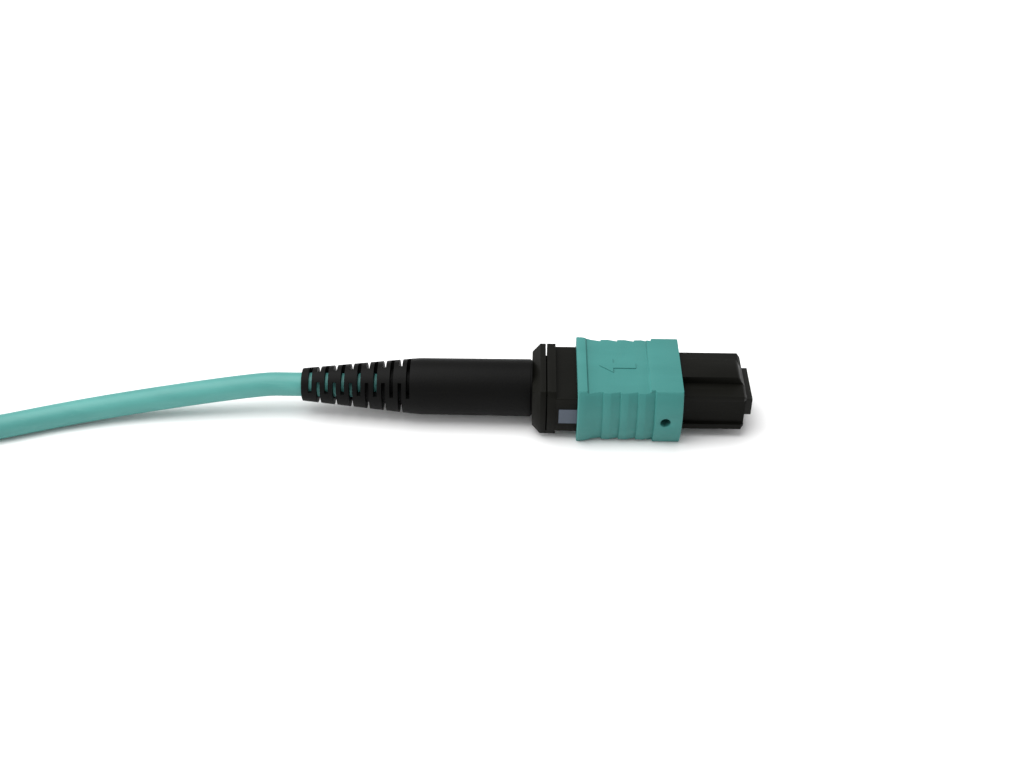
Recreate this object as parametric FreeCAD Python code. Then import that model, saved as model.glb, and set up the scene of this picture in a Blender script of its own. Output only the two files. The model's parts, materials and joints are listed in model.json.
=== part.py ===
import FreeCAD, Part
import math
import os

# MPO fibre connector on a 3 mm round cable, female (no guide pins), millimetres.
# +X points out of the mating face, +Z is the key side, Y is across the fibre row.
# The origin is the middle of the ferrule's mating face, on the connector's axis.

V = FreeCAD.Vector
X_AXIS = V(1, 0, 0)
SIDES = (-1, 1)
edge_tolerance = 0.01

# ferrule and fibres
ferrule_width = 6.4
ferrule_height = 2.5
ferrule_length = 8.0
ferrule_edge = 0.12
shoulder_length = 2.5
shoulder_step = 0.25
guide_hole_diameter = 0.7
guide_hole_pitch = 4.6
fibre_count = 12
fibre_pitch = 0.25
fibre_diameter = 0.125
fibre_glue_gap = 0.01
fibre_hole_length = 3.0
ribbon_height = 0.30
bundle_fill = 0.55
bundle_flatness = 0.98
ribbon_slack = 0.05
pocket_wall = 0.15
pocket_height = 1.0
epoxy_window_length = 2.2
epoxy_window_set = 0.6
glue_gap = 0.03

# rubber boot in the back of the ferrule, spacer and main spring behind it
rubber_boot_depth = 1.8
rubber_boot_tail = 1.5
rubber_boot_taper = 0.25
spacer_length = 2.0
spacer_side_play = 0.05
spacer_boss_length = 0.6
spacer_boss_play = 1.3
spacer_window_play = 0.02
main_wire = 0.45
main_turns = 6
main_play = 0.15

# inner housing
nose_setback = 0.92
nose_width = 8.84
nose_length = 13.28
housing_height = 5.14
nose_edge = 0.35
slide_fit = 0.1
shoulder_seat_gap = 0.05
key_width = 3.7
key_height = 1.0
key_slope = 0.63
key_rear_gap = 0.2
latch_groove_depth = 0.55
latch_groove_lip = 0.73
catch_set = 0.5
catch_length = 0.9
catch_rise = 0.3
body_width = 10.64
body_bow = 0.2
body_length = 10.08
flange_inset = 0.39
flange_height = 6.7
flange_bow = 0.7
flange_length = 1.02
corner_break = 0.1
stop_pad_height = 0.8
sleeve_stop_set = 2.0
sleeve_stop_length = 1.2
sleeve_stop_width = 3.0
sleeve_stop_rise = 0.5

# pale mark on one narrow side of the housing, seen behind the sleeve
mark_set = 0.35
mark_length = 2.7
mark_height = 2.12
mark_thickness = 0.08

# coil springs that return the pull sleeve
closed_turn_ratio = 1.1
coil_steps = 12
side_coil_diameter = 1.2
side_wire = 0.2
side_turns = 8
side_play = 0.05
side_channel_length = 4.4
side_seat_gap = 0.02

# pull sleeve
sleeve_side_step = 0.16
sleeve_height = 7.92
sleeve_bow = 1.05
sleeve_length = 12.83
sleeve_edge = 0.12
sleeve_collar_length = 2.66
sleeve_travel = 2.5
sleeve_pull_gap = 0.2
sleeve_stop_gap = 0.1
sleeve_pocket_room = 0.15
sleeve_fit = 0.12
key_slot_fit = 0.1
rim_length = 1.0
rim_rise = 0.15
rim_slope = 0.25
grip_count = 4
grip_pitch = 2.12
grip_width = 1.25
grip_depth = 0.35
grip_ridge_set = 0.2
grip_slope = 0.35
grip_step = 0.07
panel_rear_set = 0.15
panel_length = 7.75
panel_depth = 0.3
peep_hole_diameter = 1.3
peep_hole_set = 2.05

# rear body: collar, plug with two latch arms, crimp stem
collar_gap = 0.22
collar_length = 1.68
collar_slope_length = 1.0
collar_slope_depth = 0.74
plug_side_set = 1.09
plug_height = 3.8
plug_reach = 8.07
plug_fit = 0.1
plug_window_height = 1.6
plug_window_width = 3.8
arm_thickness = 0.7
arm_slot = 0.3
arm_length = 5.0
hook_set = 2.3
hook_length = 1.1
hook_rise = 0.65
hook_height = 2.0
hook_slope = 0.55
latch_window_play = 0.15
neck_diameter = 6.6
neck_length = 0.11
stem_diameter = 4.9
stem_length = 6.14
stem_bore = 2.4
stem_bore_length = 9.2
stem_ring_count = 4
stem_ring_width = 0.35
stem_ring_depth = 0.12

# yarn, crimp ring and cable boot
yarn_thickness = 0.13
yarn_length = 5.2
wrap_gap = 0.02
ring_wall = 0.25
ring_set = 0.59
ring_cone_length = 0.7
ring_tail_length = 2.7
cable_set = 0.55
boot_gap = 0.05
boot_front_diameter = 7.2
boot_shoulder_diameter = 7.08
boot_barrel_length = 14.14
boot_length = 28.67
boot_tail_diameter = 4.14
boot_edge = 0.15
boot_ring_fit = 0.08
boot_cable_fit = 0.1
boot_ring_room = 0.3

# flex slots of the cable boot: two interleaved rows of paired windows; those next to the
# barrel are blind and leave a skin over the cable
slot_width = 0.46
slot_first_set = 1.1
slot_tail_set = 1.13
slot_floor_gap = 0.03
slot_skin = 0.5
upper_slot_count = 7
upper_slot_centre_deg = 64.5
upper_slot_half_deg = 53.5
upper_blind_count = 2
side_slot_centre_deg = 155.0
side_slot_half_deg = 68.0
side_blind_count = 3

# cable: straight out of the boot, down to the table, then a tied hank
cable_diameter = 3.0
bend_reach = 0.45
hank_inner_radius = 8.0
hank_turn_pitch = 3.05
hank_columns = 2
hank_layers = 3
hank_run = 50.0
hank_waist_radius = 1.6
hank_front_x = -100.0
hank_tie_width = 5.0
hank_tie_thickness = 0.5
hank_tie_play = 0.2
hank_tie_corner = 1.5

# places that follow from the sizes above
ferrule_rear_x = -ferrule_length
shoulder_x = ferrule_rear_x + shoulder_length
shoulder_width = ferrule_width + 2 * shoulder_step
shoulder_height = ferrule_height + 2 * shoulder_step
ribbon_width = fibre_count * fibre_pitch + ribbon_slack
pocket_width = guide_hole_pitch - guide_hole_diameter - 2 * pocket_wall
spacer_front_x = ferrule_rear_x
spacer_rear_x = spacer_front_x - spacer_length
nose_front_x = -nose_setback
body_front_x = nose_front_x - nose_length
flange_front_x = body_front_x - body_length
flange_width = body_width - 2 * flange_inset
housing_rear_x = flange_front_x - flange_length
collar_front_x = housing_rear_x - collar_gap
collar_rear_x = collar_front_x - collar_length
plug_front_x = collar_front_x + plug_reach
plug_width = body_width - 2 * plug_side_set
neck_rear_x = collar_rear_x - neck_length
stem_rear_x = neck_rear_x - stem_length
sleeve_collar_rear_x = body_front_x + sleeve_travel + sleeve_pull_gap
sleeve_front_x = sleeve_collar_rear_x + sleeve_collar_length
sleeve_rear_x = sleeve_front_x - sleeve_length
sleeve_width = body_width + 2 * sleeve_side_step
cavity_width = shoulder_width + 2 * slide_fit
cavity_height = shoulder_height + 2 * slide_fit
side_channel_width = side_coil_diameter + 2 * side_play
side_channel_rear_x = body_front_x - side_channel_length
sleeve_stop_front_x = body_front_x - sleeve_stop_set
sleeve_stop_rear_x = sleeve_stop_front_x - sleeve_stop_length
tunnel_width = body_width + 2 * sleeve_fit
tunnel_height = housing_height + 2 * sleeve_fit
side_coil_y = tunnel_width / 2 + body_bow - side_play - side_coil_diameter / 2
side_channel_floor = side_coil_y - side_channel_width / 2
hook_front_x = plug_front_x - hook_set
ring_front_x = neck_rear_x - ring_set
ring_bore = stem_diameter + 2 * (yarn_thickness + 2 * wrap_gap)
ring_diameter = ring_bore + 2 * ring_wall
ring_tail_x = stem_rear_x - ring_cone_length
ring_rear_x = ring_tail_x - ring_tail_length
ring_tail_bore = cable_diameter + 2 * wrap_gap
cable_start_x = stem_rear_x - cable_set
boot_front_x = neck_rear_x - boot_gap
boot_shoulder_x = boot_front_x - boot_barrel_length
boot_tail_x = boot_front_x - boot_length
boot_bore = cable_diameter + 2 * boot_cable_fit
boot_front_bore = ring_diameter + 2 * boot_ring_fit
slot_room = boot_length - boot_barrel_length - slot_first_set - slot_tail_set
slot_pitch = slot_room / (upper_slot_count - 1)
table_z = -sleeve_height / 2
cable_rest_z = table_z + cable_diameter / 2
hank_outer_radius = hank_inner_radius + (hank_columns - 1) * hank_turn_pitch
hank_half_width = hank_outer_radius + cable_diameter / 2
hank_waist = hank_waist_radius + (hank_columns - 1) * hank_turn_pitch + cable_diameter / 2
hank_height = (hank_layers - 1) * hank_turn_pitch + cable_diameter
hank_lobe_x = hank_front_x - hank_half_width
hank_middle_x = hank_lobe_x - hank_run / 2

# The cable's route: out of the crimp, straight through the boot, down to the table and
# over to the side where the hank takes it up.
LEAD_ROUTE = [
    (cable_start_x, 0.0, 0.0),
    (-61.5, 0.0, 0.0),
    (-82.0, -2.2, cable_rest_z),
    (-97.0, -7.8, cable_rest_z),
    (-112.0, -11.0, cable_rest_z),
]


def box(x_rear, x_front, y_low, y_high, z_low, z_high):
    """Block between two planes along each axis."""
    size = (x_front - x_rear, y_high - y_low, z_high - z_low)
    return Part.makeBox(*size, V(x_rear, y_low, z_low))


def block(x_rear, x_front, width, height):
    """Block centred on the axis."""
    return box(x_rear, x_front, -width / 2, width / 2, -height / 2, height / 2)


def rod(x_rear, x_front, diameter, y=0.0, z=0.0):
    """Round bar along X."""
    return Part.makeCylinder(diameter / 2, x_front - x_rear, V(x_rear, y, z), X_AXIS)


def fuse(shapes):
    """One solid from touching or overlapping shapes."""
    return shapes[0].multiFuse(shapes[1:]).removeSplitter()


def arc(first, middle, last):
    """Arc edge through three points."""
    return Part.Arc(first, middle, last).toShape()


def section(x, width, height, bow, edge):
    """Closed outline across the axis: flat top and bottom, bowed sides, broken corners."""
    half_w, half_h = width / 2, height / 2
    side = half_h - edge
    crown = half_w + bow
    lines = [
        Part.makeLine(V(x, edge - half_w, half_h), V(x, half_w - edge, half_h)),
        Part.makeLine(V(x, half_w - edge, half_h), V(x, half_w, side)),
        arc(V(x, half_w, side), V(x, crown, 0), V(x, half_w, -side)),
        Part.makeLine(V(x, half_w, -side), V(x, half_w - edge, -half_h)),
        Part.makeLine(V(x, half_w - edge, -half_h), V(x, edge - half_w, -half_h)),
        Part.makeLine(V(x, edge - half_w, -half_h), V(x, -half_w, -side)),
        arc(V(x, -half_w, -side), V(x, -crown, 0), V(x, -half_w, side)),
        Part.makeLine(V(x, -half_w, side), V(x, edge - half_w, half_h)),
    ]
    return Part.Wire(lines)


def bowed_loft(stations, height, bow, edge):
    """Solid through bowed sections, given as (x, width)."""
    wires = [section(x, width, height, bow, edge) for x, width in stations]
    return Part.makeLoft(wires, True, True)


def bowed_block(x_rear, x_front, width, height, bow, edge):
    """Straight bowed block."""
    return bowed_loft([(x_rear, width), (x_front, width)], height, bow, edge)


def chamfered_block(x_rear, x_front, width, height, x_edge):
    """Block centred on the axis with its four long edges broken."""
    body = block(x_rear, x_front, width, height)
    long_edges = [e for e in body.Edges if e.BoundBox.XLength > x_front - x_rear - edge_tolerance]
    return body.makeChamfer(x_edge, long_edges)


def flat_oval(x, width, height):
    """Flat outline with round ends, across the axis."""
    radius = height / 2
    flat = width / 2 - radius
    lines = [
        Part.makeLine(V(x, -flat, radius), V(x, flat, radius)),
        arc(V(x, flat, radius), V(x, flat + radius, 0), V(x, flat, -radius)),
        Part.makeLine(V(x, flat, -radius), V(x, -flat, -radius)),
        arc(V(x, -flat, -radius), V(x, -flat - radius, 0), V(x, -flat, radius)),
    ]
    return Part.Wire(lines)


def turned(profile):
    """Solid of revolution about X from a closed list of (x, radius) points."""
    points = [V(x, 0, r) for x, r in profile]
    face = Part.Face(Part.makePolygon(points + points[:1]))
    return face.revolve(V(0, 0, 0), X_AXIS, 360)


def side_wedge(profile, half_height):
    """Prism along Z from a closed list of (x, y) points, centred on the axis plane."""
    points = [V(x, y, -half_height) for x, y in profile]
    face = Part.Face(Part.makePolygon(points + points[:1]))
    return face.extrude(V(0, 0, 2 * half_height))


def coil(x_rear, x_front, half_width, half_height, wire, turns, centre_y):
    """Compression spring along X, round or oval, with one closed turn at each end."""
    closed_pitch = closed_turn_ratio * wire
    open_pitch = (x_front - x_rear - wire - 2 * closed_pitch) / (turns - 2)
    points = []
    x = x_rear + wire / 2
    for step in range(coil_steps * turns + 1):
        turn = 2 * math.pi * step / coil_steps
        points.append(V(x, centre_y + half_width * math.cos(turn), half_height * math.sin(turn)))
        closed = step < coil_steps or step >= coil_steps * (turns - 1)
        x += (closed_pitch if closed else open_pitch) / coil_steps
    curve = Part.BSplineCurve()
    curve.interpolate(points)
    path = Part.Wire(curve.toShape())
    tangent = curve.tangent(curve.FirstParameter)[0]
    end = Part.Wire(Part.makeCircle(wire / 2, points[0], tangent))
    return path.makePipeShell([end], True, True)


def mt_ferrule():
    """Glass-filled ferrule: two guide holes, a row of fibre holes, glue window, rear pocket."""
    front = chamfered_block(shoulder_x, 0, ferrule_width, ferrule_height, ferrule_edge)
    shoulder = block(ferrule_rear_x, shoulder_x, shoulder_width, shoulder_height)
    body = fuse([front, shoulder])
    cuts = [block(ferrule_rear_x - 1, -fibre_hole_length, pocket_width, pocket_height)]
    window_front = -fibre_hole_length - epoxy_window_set
    cuts.append(
        box(window_front - epoxy_window_length, window_front, -pocket_width / 2, pocket_width / 2,
            0, ferrule_height)
    )
    for side in SIDES:
        y = side * guide_hole_pitch / 2
        cuts.append(rod(ferrule_rear_x - 1, 1, guide_hole_diameter, y))
    for y in fibre_places():
        cuts.append(rod(-fibre_hole_length - 1, 1, fibre_diameter + 2 * fibre_glue_gap, y))
    return body.cut(cuts)


def fibre_places():
    """Y of each fibre in the row."""
    first = -(fibre_count - 1) / 2 * fibre_pitch
    return [first + index * fibre_pitch for index in range(fibre_count)]


def fibre_array():
    """Bare glass ends, polished flush with the mating face, back to the ribbon."""
    rear = -fibre_hole_length - epoxy_window_set - epoxy_window_length
    return Part.makeCompound([rod(rear, 0, fibre_diameter, y) for y in fibre_places()])


def epoxy_fill():
    """Cured glue that fills the window, level with the top of the ferrule."""
    front = -fibre_hole_length - epoxy_window_set - glue_gap
    rear = front - epoxy_window_length + 2 * glue_gap
    half = pocket_width / 2 - glue_gap
    return box(rear, front, -half, half, fibre_diameter / 2 + glue_gap, ferrule_height / 2)


def rubber_boot():
    """Soft boot that closes the ferrule's rear pocket round the ribbon."""
    front = ferrule_rear_x + rubber_boot_depth
    rear = ferrule_rear_x - rubber_boot_tail
    width = pocket_width - 2 * glue_gap
    height = pocket_height - 2 * glue_gap
    plug = block(ferrule_rear_x, front, width, height)
    tail_wires = [
        flat_oval(rear, width - rubber_boot_taper, height - rubber_boot_taper),
        flat_oval(ferrule_rear_x, width, height),
    ]
    tail = Part.makeLoft(tail_wires, True, True)
    slit = block(rear - 1, front + 1, ribbon_width + 2 * glue_gap, ribbon_height + 2 * glue_gap)
    return fuse([plug, tail]).cut(slit)


def spring_spacer():
    """Spacer between ferrule and main spring: ribbon window, boss that centres the spring."""
    width = shoulder_width - 2 * spacer_side_play
    height = shoulder_height - 2 * spacer_side_play
    body = block(spacer_rear_x, spacer_front_x, width, height)
    inner_w, inner_h = main_inner()
    boss_width = inner_w - spacer_boss_play
    boss_height = inner_h - 2 * main_play
    boss_face = Part.Face(flat_oval(spacer_rear_x - spacer_boss_length, boss_width, boss_height))
    boss = boss_face.extrude(V(spacer_boss_length, 0, 0))
    window = block(
        spacer_rear_x - spacer_boss_length - 1, spacer_front_x + 1,
        pocket_width + 2 * spacer_window_play, pocket_height + 2 * glue_gap,
    )
    return fuse([body, boss]).cut(window)


def main_inner():
    """Inside width and height of the main spring."""
    width = cavity_width - 2 * main_play - 2 * main_wire
    height = cavity_height - 2 * main_play - 2 * main_wire
    return width, height


def main_spring():
    """Oval spring that pushes the ferrule forward, round the ribbon."""
    inner_w, inner_h = main_inner()
    return coil(
        plug_front_x + side_seat_gap, spacer_rear_x - side_seat_gap,
        (inner_w + main_wire) / 2, (inner_h + main_wire) / 2, main_wire, main_turns, 0.0,
    )


def fibre_ribbon():
    """The fibres behind the glass ends: a flat ribbon that gathers into a round bundle."""
    front = ferrule_rear_x + rubber_boot_depth
    gather_front = plug_front_x - hook_set
    gather_rear = stem_rear_x + stem_bore_length
    bundle = stem_bore * bundle_fill
    bundle_height = bundle * bundle_flatness
    flat = Part.Face(flat_oval(gather_front, ribbon_width, ribbon_height))
    wires = [
        flat_oval(gather_rear, bundle, bundle_height),
        flat_oval(gather_front, ribbon_width, ribbon_height),
    ]
    round_face = Part.Face(flat_oval(cable_start_x, bundle, bundle_height))
    return fuse([
        flat.extrude(V(front - gather_front, 0, 0)),
        Part.makeLoft(wires, True, True),
        round_face.extrude(V(gather_rear - cable_start_x, 0, 0)),
    ])


def key():
    """Polarising rib on the nose, sloped at its front end."""
    rear = sleeve_collar_rear_x + key_rear_gap
    low, high = housing_height / 2 - key_height, housing_height / 2 + key_height
    profile = [
        V(rear, 0, low),
        V(nose_front_x, 0, low),
        V(nose_front_x, 0, high - key_slope),
        V(nose_front_x - key_slope, 0, high),
        V(rear, 0, high),
    ]
    face = Part.Face(Part.makePolygon(profile + profile[:1]))
    face.translate(V(0, -key_width / 2, 0))
    return face.extrude(V(0, key_width, 0))


def nose():
    """Plug nose with broken front edges and the key."""
    body = block(body_front_x, nose_front_x, nose_width, housing_height)
    front_edges = [e for e in body.Edges if e.BoundBox.XMin > nose_front_x - edge_tolerance]
    body = body.makeChamfer(nose_edge, front_edges)
    return fuse([body, key()])


def latch_groove(side):
    """Channel along one narrow side of the nose for the adapter's latch."""
    floor = nose_width / 2 - latch_groove_depth
    half = housing_height / 2 - latch_groove_lip
    outer = side * (nose_width / 2 + 1)
    low, high = sorted((side * floor, outer))
    return box(sleeve_collar_rear_x, nose_front_x + 1, low, high, -half, half)


def latch_catch(side):
    """Ramped catch in the channel, hidden by the sleeve until it is pulled back."""
    floor = side * (nose_width / 2 - latch_groove_depth)
    crest = floor + side * catch_rise
    front = sleeve_front_x - catch_set
    rear = front - catch_length
    profile = [(rear, floor), (rear, crest), (rear + catch_length / 2, crest), (front, floor)]
    half = housing_height / 2 - latch_groove_lip
    return side_wedge(profile, half)


def sleeve_stop(side):
    """Bump above or below the body, ramped at the front, that keeps the sleeve from coming off."""
    root = side * housing_height / 2
    crest = root + side * sleeve_stop_rise
    inside = root - side * sleeve_stop_rise
    rear, front = sleeve_stop_rear_x, sleeve_stop_front_x
    profile = [(rear, inside), (rear, crest), ((rear + front) / 2, crest), (front, root), (front, inside)]
    points = [V(x, -sleeve_stop_width / 2, z) for x, z in profile]
    face = Part.Face(Part.makePolygon(points + points[:1]))
    return face.extrude(V(0, sleeve_stop_width, 0))


def inner_housing():
    """Nose, wide body with spring channels, rear flange, cavities and latch windows."""
    body = bowed_block(flange_front_x, body_front_x, body_width, housing_height, body_bow, corner_break)
    flange = bowed_block(
        housing_rear_x, flange_front_x, flange_width, flange_height, flange_bow, corner_break
    )
    outer = fuse([nose(), body, flange])
    cuts = [
        block(shoulder_x - 1, nose_front_x + 1, ferrule_width + 2 * slide_fit,
              ferrule_height + 2 * slide_fit),
        block(plug_front_x - 1, shoulder_x + shoulder_seat_gap, cavity_width, cavity_height),
        block(housing_rear_x - 1, plug_front_x + plug_fit, plug_width + 2 * plug_fit,
              plug_height + 2 * plug_fit),
    ]
    half = side_channel_width / 2
    window_half = hook_height / 2 + latch_window_play
    for side in SIDES:
        cuts.append(latch_groove(side))
        low, high = sorted((side * side_channel_floor, side * body_width))
        cuts.append(box(side_channel_rear_x, sleeve_collar_rear_x + 1, low, high, -half, half))
        low, high = sorted((side * (plug_width / 2), side * body_width))
        cuts.append(
            box(hook_front_x - hook_length - latch_window_play, hook_front_x + latch_window_play,
                low, high, -window_half, window_half)
        )
    hollow = outer.cut(cuts)
    pad_low = -flange_height / 2
    pad = bowed_block(
        collar_front_x, housing_rear_x, flange_width, flange_height, flange_bow, corner_break
    )
    limits = box(collar_front_x, housing_rear_x, -body_width, body_width, pad_low, pad_low + stop_pad_height)
    pieces = [hollow, pad.common(limits)]
    for side in SIDES:
        pieces += [latch_catch(side), sleeve_stop(side)]
    return fuse(pieces)


def position_mark():
    """Thin printed mark on the bowed side of the housing that marks fibre 1."""
    front = flange_front_x + mark_set + mark_length
    rear = flange_front_x + mark_set
    skin = bowed_block(
        rear, front, body_width + 2 * mark_thickness, housing_height, body_bow, corner_break
    )
    core = bowed_block(rear, front, body_width, housing_height, body_bow, corner_break)
    half = mark_height / 2
    return skin.cut(core).common(box(rear, front, -body_width, 0, -half, half))


def sleeve_spring(side):
    """Small round return spring in a side channel of the housing."""
    radius = (side_coil_diameter - side_wire) / 2
    return coil(
        side_channel_rear_x + side_seat_gap, sleeve_collar_rear_x - side_seat_gap,
        radius, radius, side_wire, side_turns, side * side_coil_y,
    )


def grip_stations():
    """(x, width) along the sleeve: proud rim, grip grooves with one steep flank, front block."""
    full, low = sleeve_width, sleeve_width - 2 * grip_depth
    ridge, rim = full - 2 * grip_ridge_set, full + 2 * rim_rise
    start = sleeve_rear_x + rim_length
    stations = [
        (sleeve_rear_x, rim - 2 * sleeve_edge),
        (sleeve_rear_x + sleeve_edge, rim),
        (start - rim_slope, rim),
        (start, full),
    ]
    before = full
    for index in range(grip_count):
        front = start + (index + 1) * grip_pitch
        rear = front - grip_width
        beyond = full if index == grip_count - 1 else ridge
        stations.append((rear, before))
        stations.append((rear + grip_slope, low))
        stations.append((front - grip_step, low))
        stations.append((front, beyond))
        before = beyond
    stations.append((sleeve_front_x - sleeve_edge, full))
    stations.append((sleeve_front_x, full - 2 * sleeve_edge))
    return stations


def pull_sleeve():
    """Outer sleeve: bowed grip sides, sunk top and bottom panels, a hole in each narrow side."""
    outer = bowed_loft(grip_stations(), sleeve_height, sleeve_bow, sleeve_edge)
    tunnel = bowed_block(
        sleeve_rear_x - 1, sleeve_collar_rear_x, tunnel_width, tunnel_height, body_bow, corner_break
    )
    mouth = block(
        sleeve_collar_rear_x - 1, sleeve_front_x + 1, nose_width + 2 * sleeve_fit, tunnel_height
    )
    slot_half = key_width / 2 + key_slot_fit
    slot_top = housing_height / 2 + key_height + key_slot_fit
    slot = box(sleeve_collar_rear_x - 1, sleeve_front_x + 1, -slot_half, slot_half, 0, slot_top)
    panel_rear = sleeve_rear_x + rim_length + panel_rear_set
    reach = sleeve_width
    cuts = [tunnel, mouth, slot]
    pocket_rear = sleeve_stop_rear_x - sleeve_stop_gap
    pocket_front = sleeve_stop_front_x + sleeve_travel + sleeve_pocket_room
    pocket_half = sleeve_stop_width / 2 + key_slot_fit
    pocket_top = housing_height / 2 + sleeve_stop_rise + key_slot_fit
    cuts.append(box(pocket_rear, pocket_front, -pocket_half, pocket_half, -pocket_top, pocket_top))
    for side in SIDES:
        low, high = sorted((side * (sleeve_height / 2 - panel_depth), side * sleeve_height))
        cuts.append(box(panel_rear, panel_rear + panel_length, -reach, reach, low, high))
    hole_x = sleeve_front_x - peep_hole_set
    hole = Part.makeCylinder(peep_hole_diameter / 2, 2 * reach, V(hole_x, -reach, 0), V(0, 1, 0))
    return outer.cut(cuts + [hole])


def hook(side):
    """Ramped hook on the outside of a latch arm."""
    root = side * plug_width / 2
    inside = root - side * arm_thickness / 2
    crest = root + side * hook_rise
    rear = hook_front_x - hook_length
    profile = [
        (rear, inside), (rear, crest), (hook_front_x - hook_slope, crest),
        (hook_front_x, root), (hook_front_x, inside),
    ]
    return side_wedge(profile, hook_height / 2)


def collar():
    """Collar that closes the housing, sloped at the back on all sides."""
    front = section(collar_front_x, flange_width, flange_height, flange_bow, corner_break)
    waist_x = collar_rear_x + collar_slope_length
    waist = section(waist_x, flange_width, flange_height, flange_bow, corner_break)
    drop = 2 * collar_slope_depth
    rear = section(collar_rear_x, flange_width - drop, flange_height - drop, flange_bow, corner_break)
    return Part.makeLoft([rear, waist, front], True, True)


def rear_body():
    """Spring push: plug with two latch arms, collar, neck and ringed crimp stem."""
    plug = block(collar_front_x, plug_front_x, plug_width, plug_height)
    body = fuse([
        plug,
        collar(),
        rod(neck_rear_x, collar_rear_x, neck_diameter),
        rod(stem_rear_x, neck_rear_x, stem_diameter),
    ] + [hook(side) for side in SIDES])
    bore_front = stem_rear_x + stem_bore_length
    cuts = [
        block(bore_front - 1, plug_front_x + 1, plug_window_width, plug_window_height),
        rod(stem_rear_x - 1, bore_front, stem_bore),
    ]
    for side in SIDES:
        outer = side * (plug_width / 2 - arm_thickness)
        low, high = sorted((outer, outer - side * arm_slot))
        cuts.append(box(plug_front_x - arm_length, plug_front_x + 1, low, high, -plug_height, plug_height))
    ring_pitch = stem_length / (stem_ring_count + 1)
    for index in range(stem_ring_count):
        middle = stem_rear_x + (index + 1) * ring_pitch
        rear = middle - stem_ring_width / 2
        blank = rod(rear, rear + stem_ring_width, stem_diameter + 1)
        cuts.append(blank.cut(rod(rear, rear + stem_ring_width, stem_diameter - 2 * stem_ring_depth)))
    return body.cut(cuts)


def aramid_yarn():
    """Strength yarn laid back over the stem, under the crimp ring."""
    inner = stem_diameter / 2 + wrap_gap
    outer = inner + yarn_thickness
    rear = stem_rear_x
    return turned([(rear, inner), (rear, outer), (rear + yarn_length, outer), (rear + yarn_length, inner)])


def crimp_ring():
    """Metal ring: wide part over the yarn and stem, cone, narrow tail on the jacket."""
    bore, tail = ring_bore / 2, ring_tail_bore / 2
    return turned([
        (ring_front_x, bore), (ring_front_x, bore + ring_wall),
        (stem_rear_x, bore + ring_wall), (ring_tail_x, tail + ring_wall),
        (ring_rear_x, tail + ring_wall), (ring_rear_x, tail),
        (ring_tail_x, tail), (stem_rear_x, bore),
    ])


def flex_windows(first_x, count, blind_count, centre_deg, half_deg):
    """Pairs of windows opposite each other, one pair each pitch, blind ones first."""
    reach = boot_front_diameter
    windows = []
    for index in range(count):
        x = first_x - index * slot_pitch - slot_width / 2
        floor = boot_bore / 2 + (slot_skin if index < blind_count else -slot_floor_gap)
        for turn in (0, 180):
            start = math.radians(centre_deg + turn - half_deg)
            end = math.radians(centre_deg + turn + half_deg)
            profile = []
            for radius, angles in ((floor, (start, (start + end) / 2, end)),
                                   (reach, (end, (start + end) / 2, start))):
                points = [V(x, -radius * math.cos(a), radius * math.sin(a)) for a in angles]
                profile.append(arc(*points))
            inner, outer = profile
            joins = [
                Part.makeLine(inner.Vertexes[-1].Point, outer.Vertexes[0].Point),
                Part.makeLine(outer.Vertexes[-1].Point, inner.Vertexes[0].Point),
            ]
            wire = Part.Wire([inner, joins[0], outer, joins[1]])
            windows.append(Part.Face(wire).extrude(V(slot_width, 0, 0)))
    return windows


def cable_boot():
    """Strain relief: smooth barrel over the crimp, tapered tail cut by two rows of windows."""
    bore, front_bore = boot_bore / 2, boot_front_bore / 2
    step_x = ring_rear_x - boot_ring_room
    tail_radius = boot_tail_diameter / 2
    body = turned([
        (boot_front_x, front_bore),
        (boot_front_x, boot_front_diameter / 2 - boot_edge),
        (boot_front_x - boot_edge, boot_front_diameter / 2),
        (boot_shoulder_x, boot_shoulder_diameter / 2),
        (boot_tail_x + boot_edge, tail_radius),
        (boot_tail_x, tail_radius - boot_edge),
        (boot_tail_x, bore),
        (step_x, bore),
        (step_x, front_bore),
    ])
    first = boot_shoulder_x - slot_first_set
    windows = flex_windows(
        first, upper_slot_count, upper_blind_count, upper_slot_centre_deg, upper_slot_half_deg
    )
    windows += flex_windows(
        first - slot_pitch / 2, upper_slot_count - 1, side_blind_count,
        side_slot_centre_deg, side_slot_half_deg,
    )
    return body.cut(windows)


def lead_path(route):
    """Straight runs joined by tangent arcs, each as large as its two runs allow."""
    points = [V(*p) for p in route]
    edges = []
    start = points[0]
    for before, corner, after in zip(points, points[1:], points[2:]):
        into, out = corner - before, after - corner
        shorter = min(into.Length, out.Length)
        turn = into.getAngle(out)
        reach = bend_reach * shorter
        radius = reach / math.tan(turn / 2)
        print(f"cable bend at {corner.x:.0f}: radius {radius:.1f}")
        u, w = V(into).normalize(), V(out).normalize()
        first, last = corner - u * reach, corner + w * reach
        inward = (w - u).normalize()
        middle = corner + inward * (radius / math.cos(turn / 2) - radius)
        edges.append(Part.makeLine(start, first))
        edges.append(arc(first, middle, last))
        start = last
    edges.append(Part.makeLine(start, points[-1]))
    return Part.Wire(edges)


def cable_lead():
    """The cable from the crimp to where it meets the hank."""
    path = lead_path(LEAD_ROUTE)
    end = Part.Wire(Part.makeCircle(cable_diameter / 2, V(*LEAD_ROUTE[0]), X_AXIS))
    tube = path.makePipeShell([end], True, True)
    area = math.pi * (cable_diameter / 2) ** 2
    print(f"cable lead: volume {tube.Volume:.2f}, section times length {area * path.Length:.2f}")
    return tube.cut(hank_outline())


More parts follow.
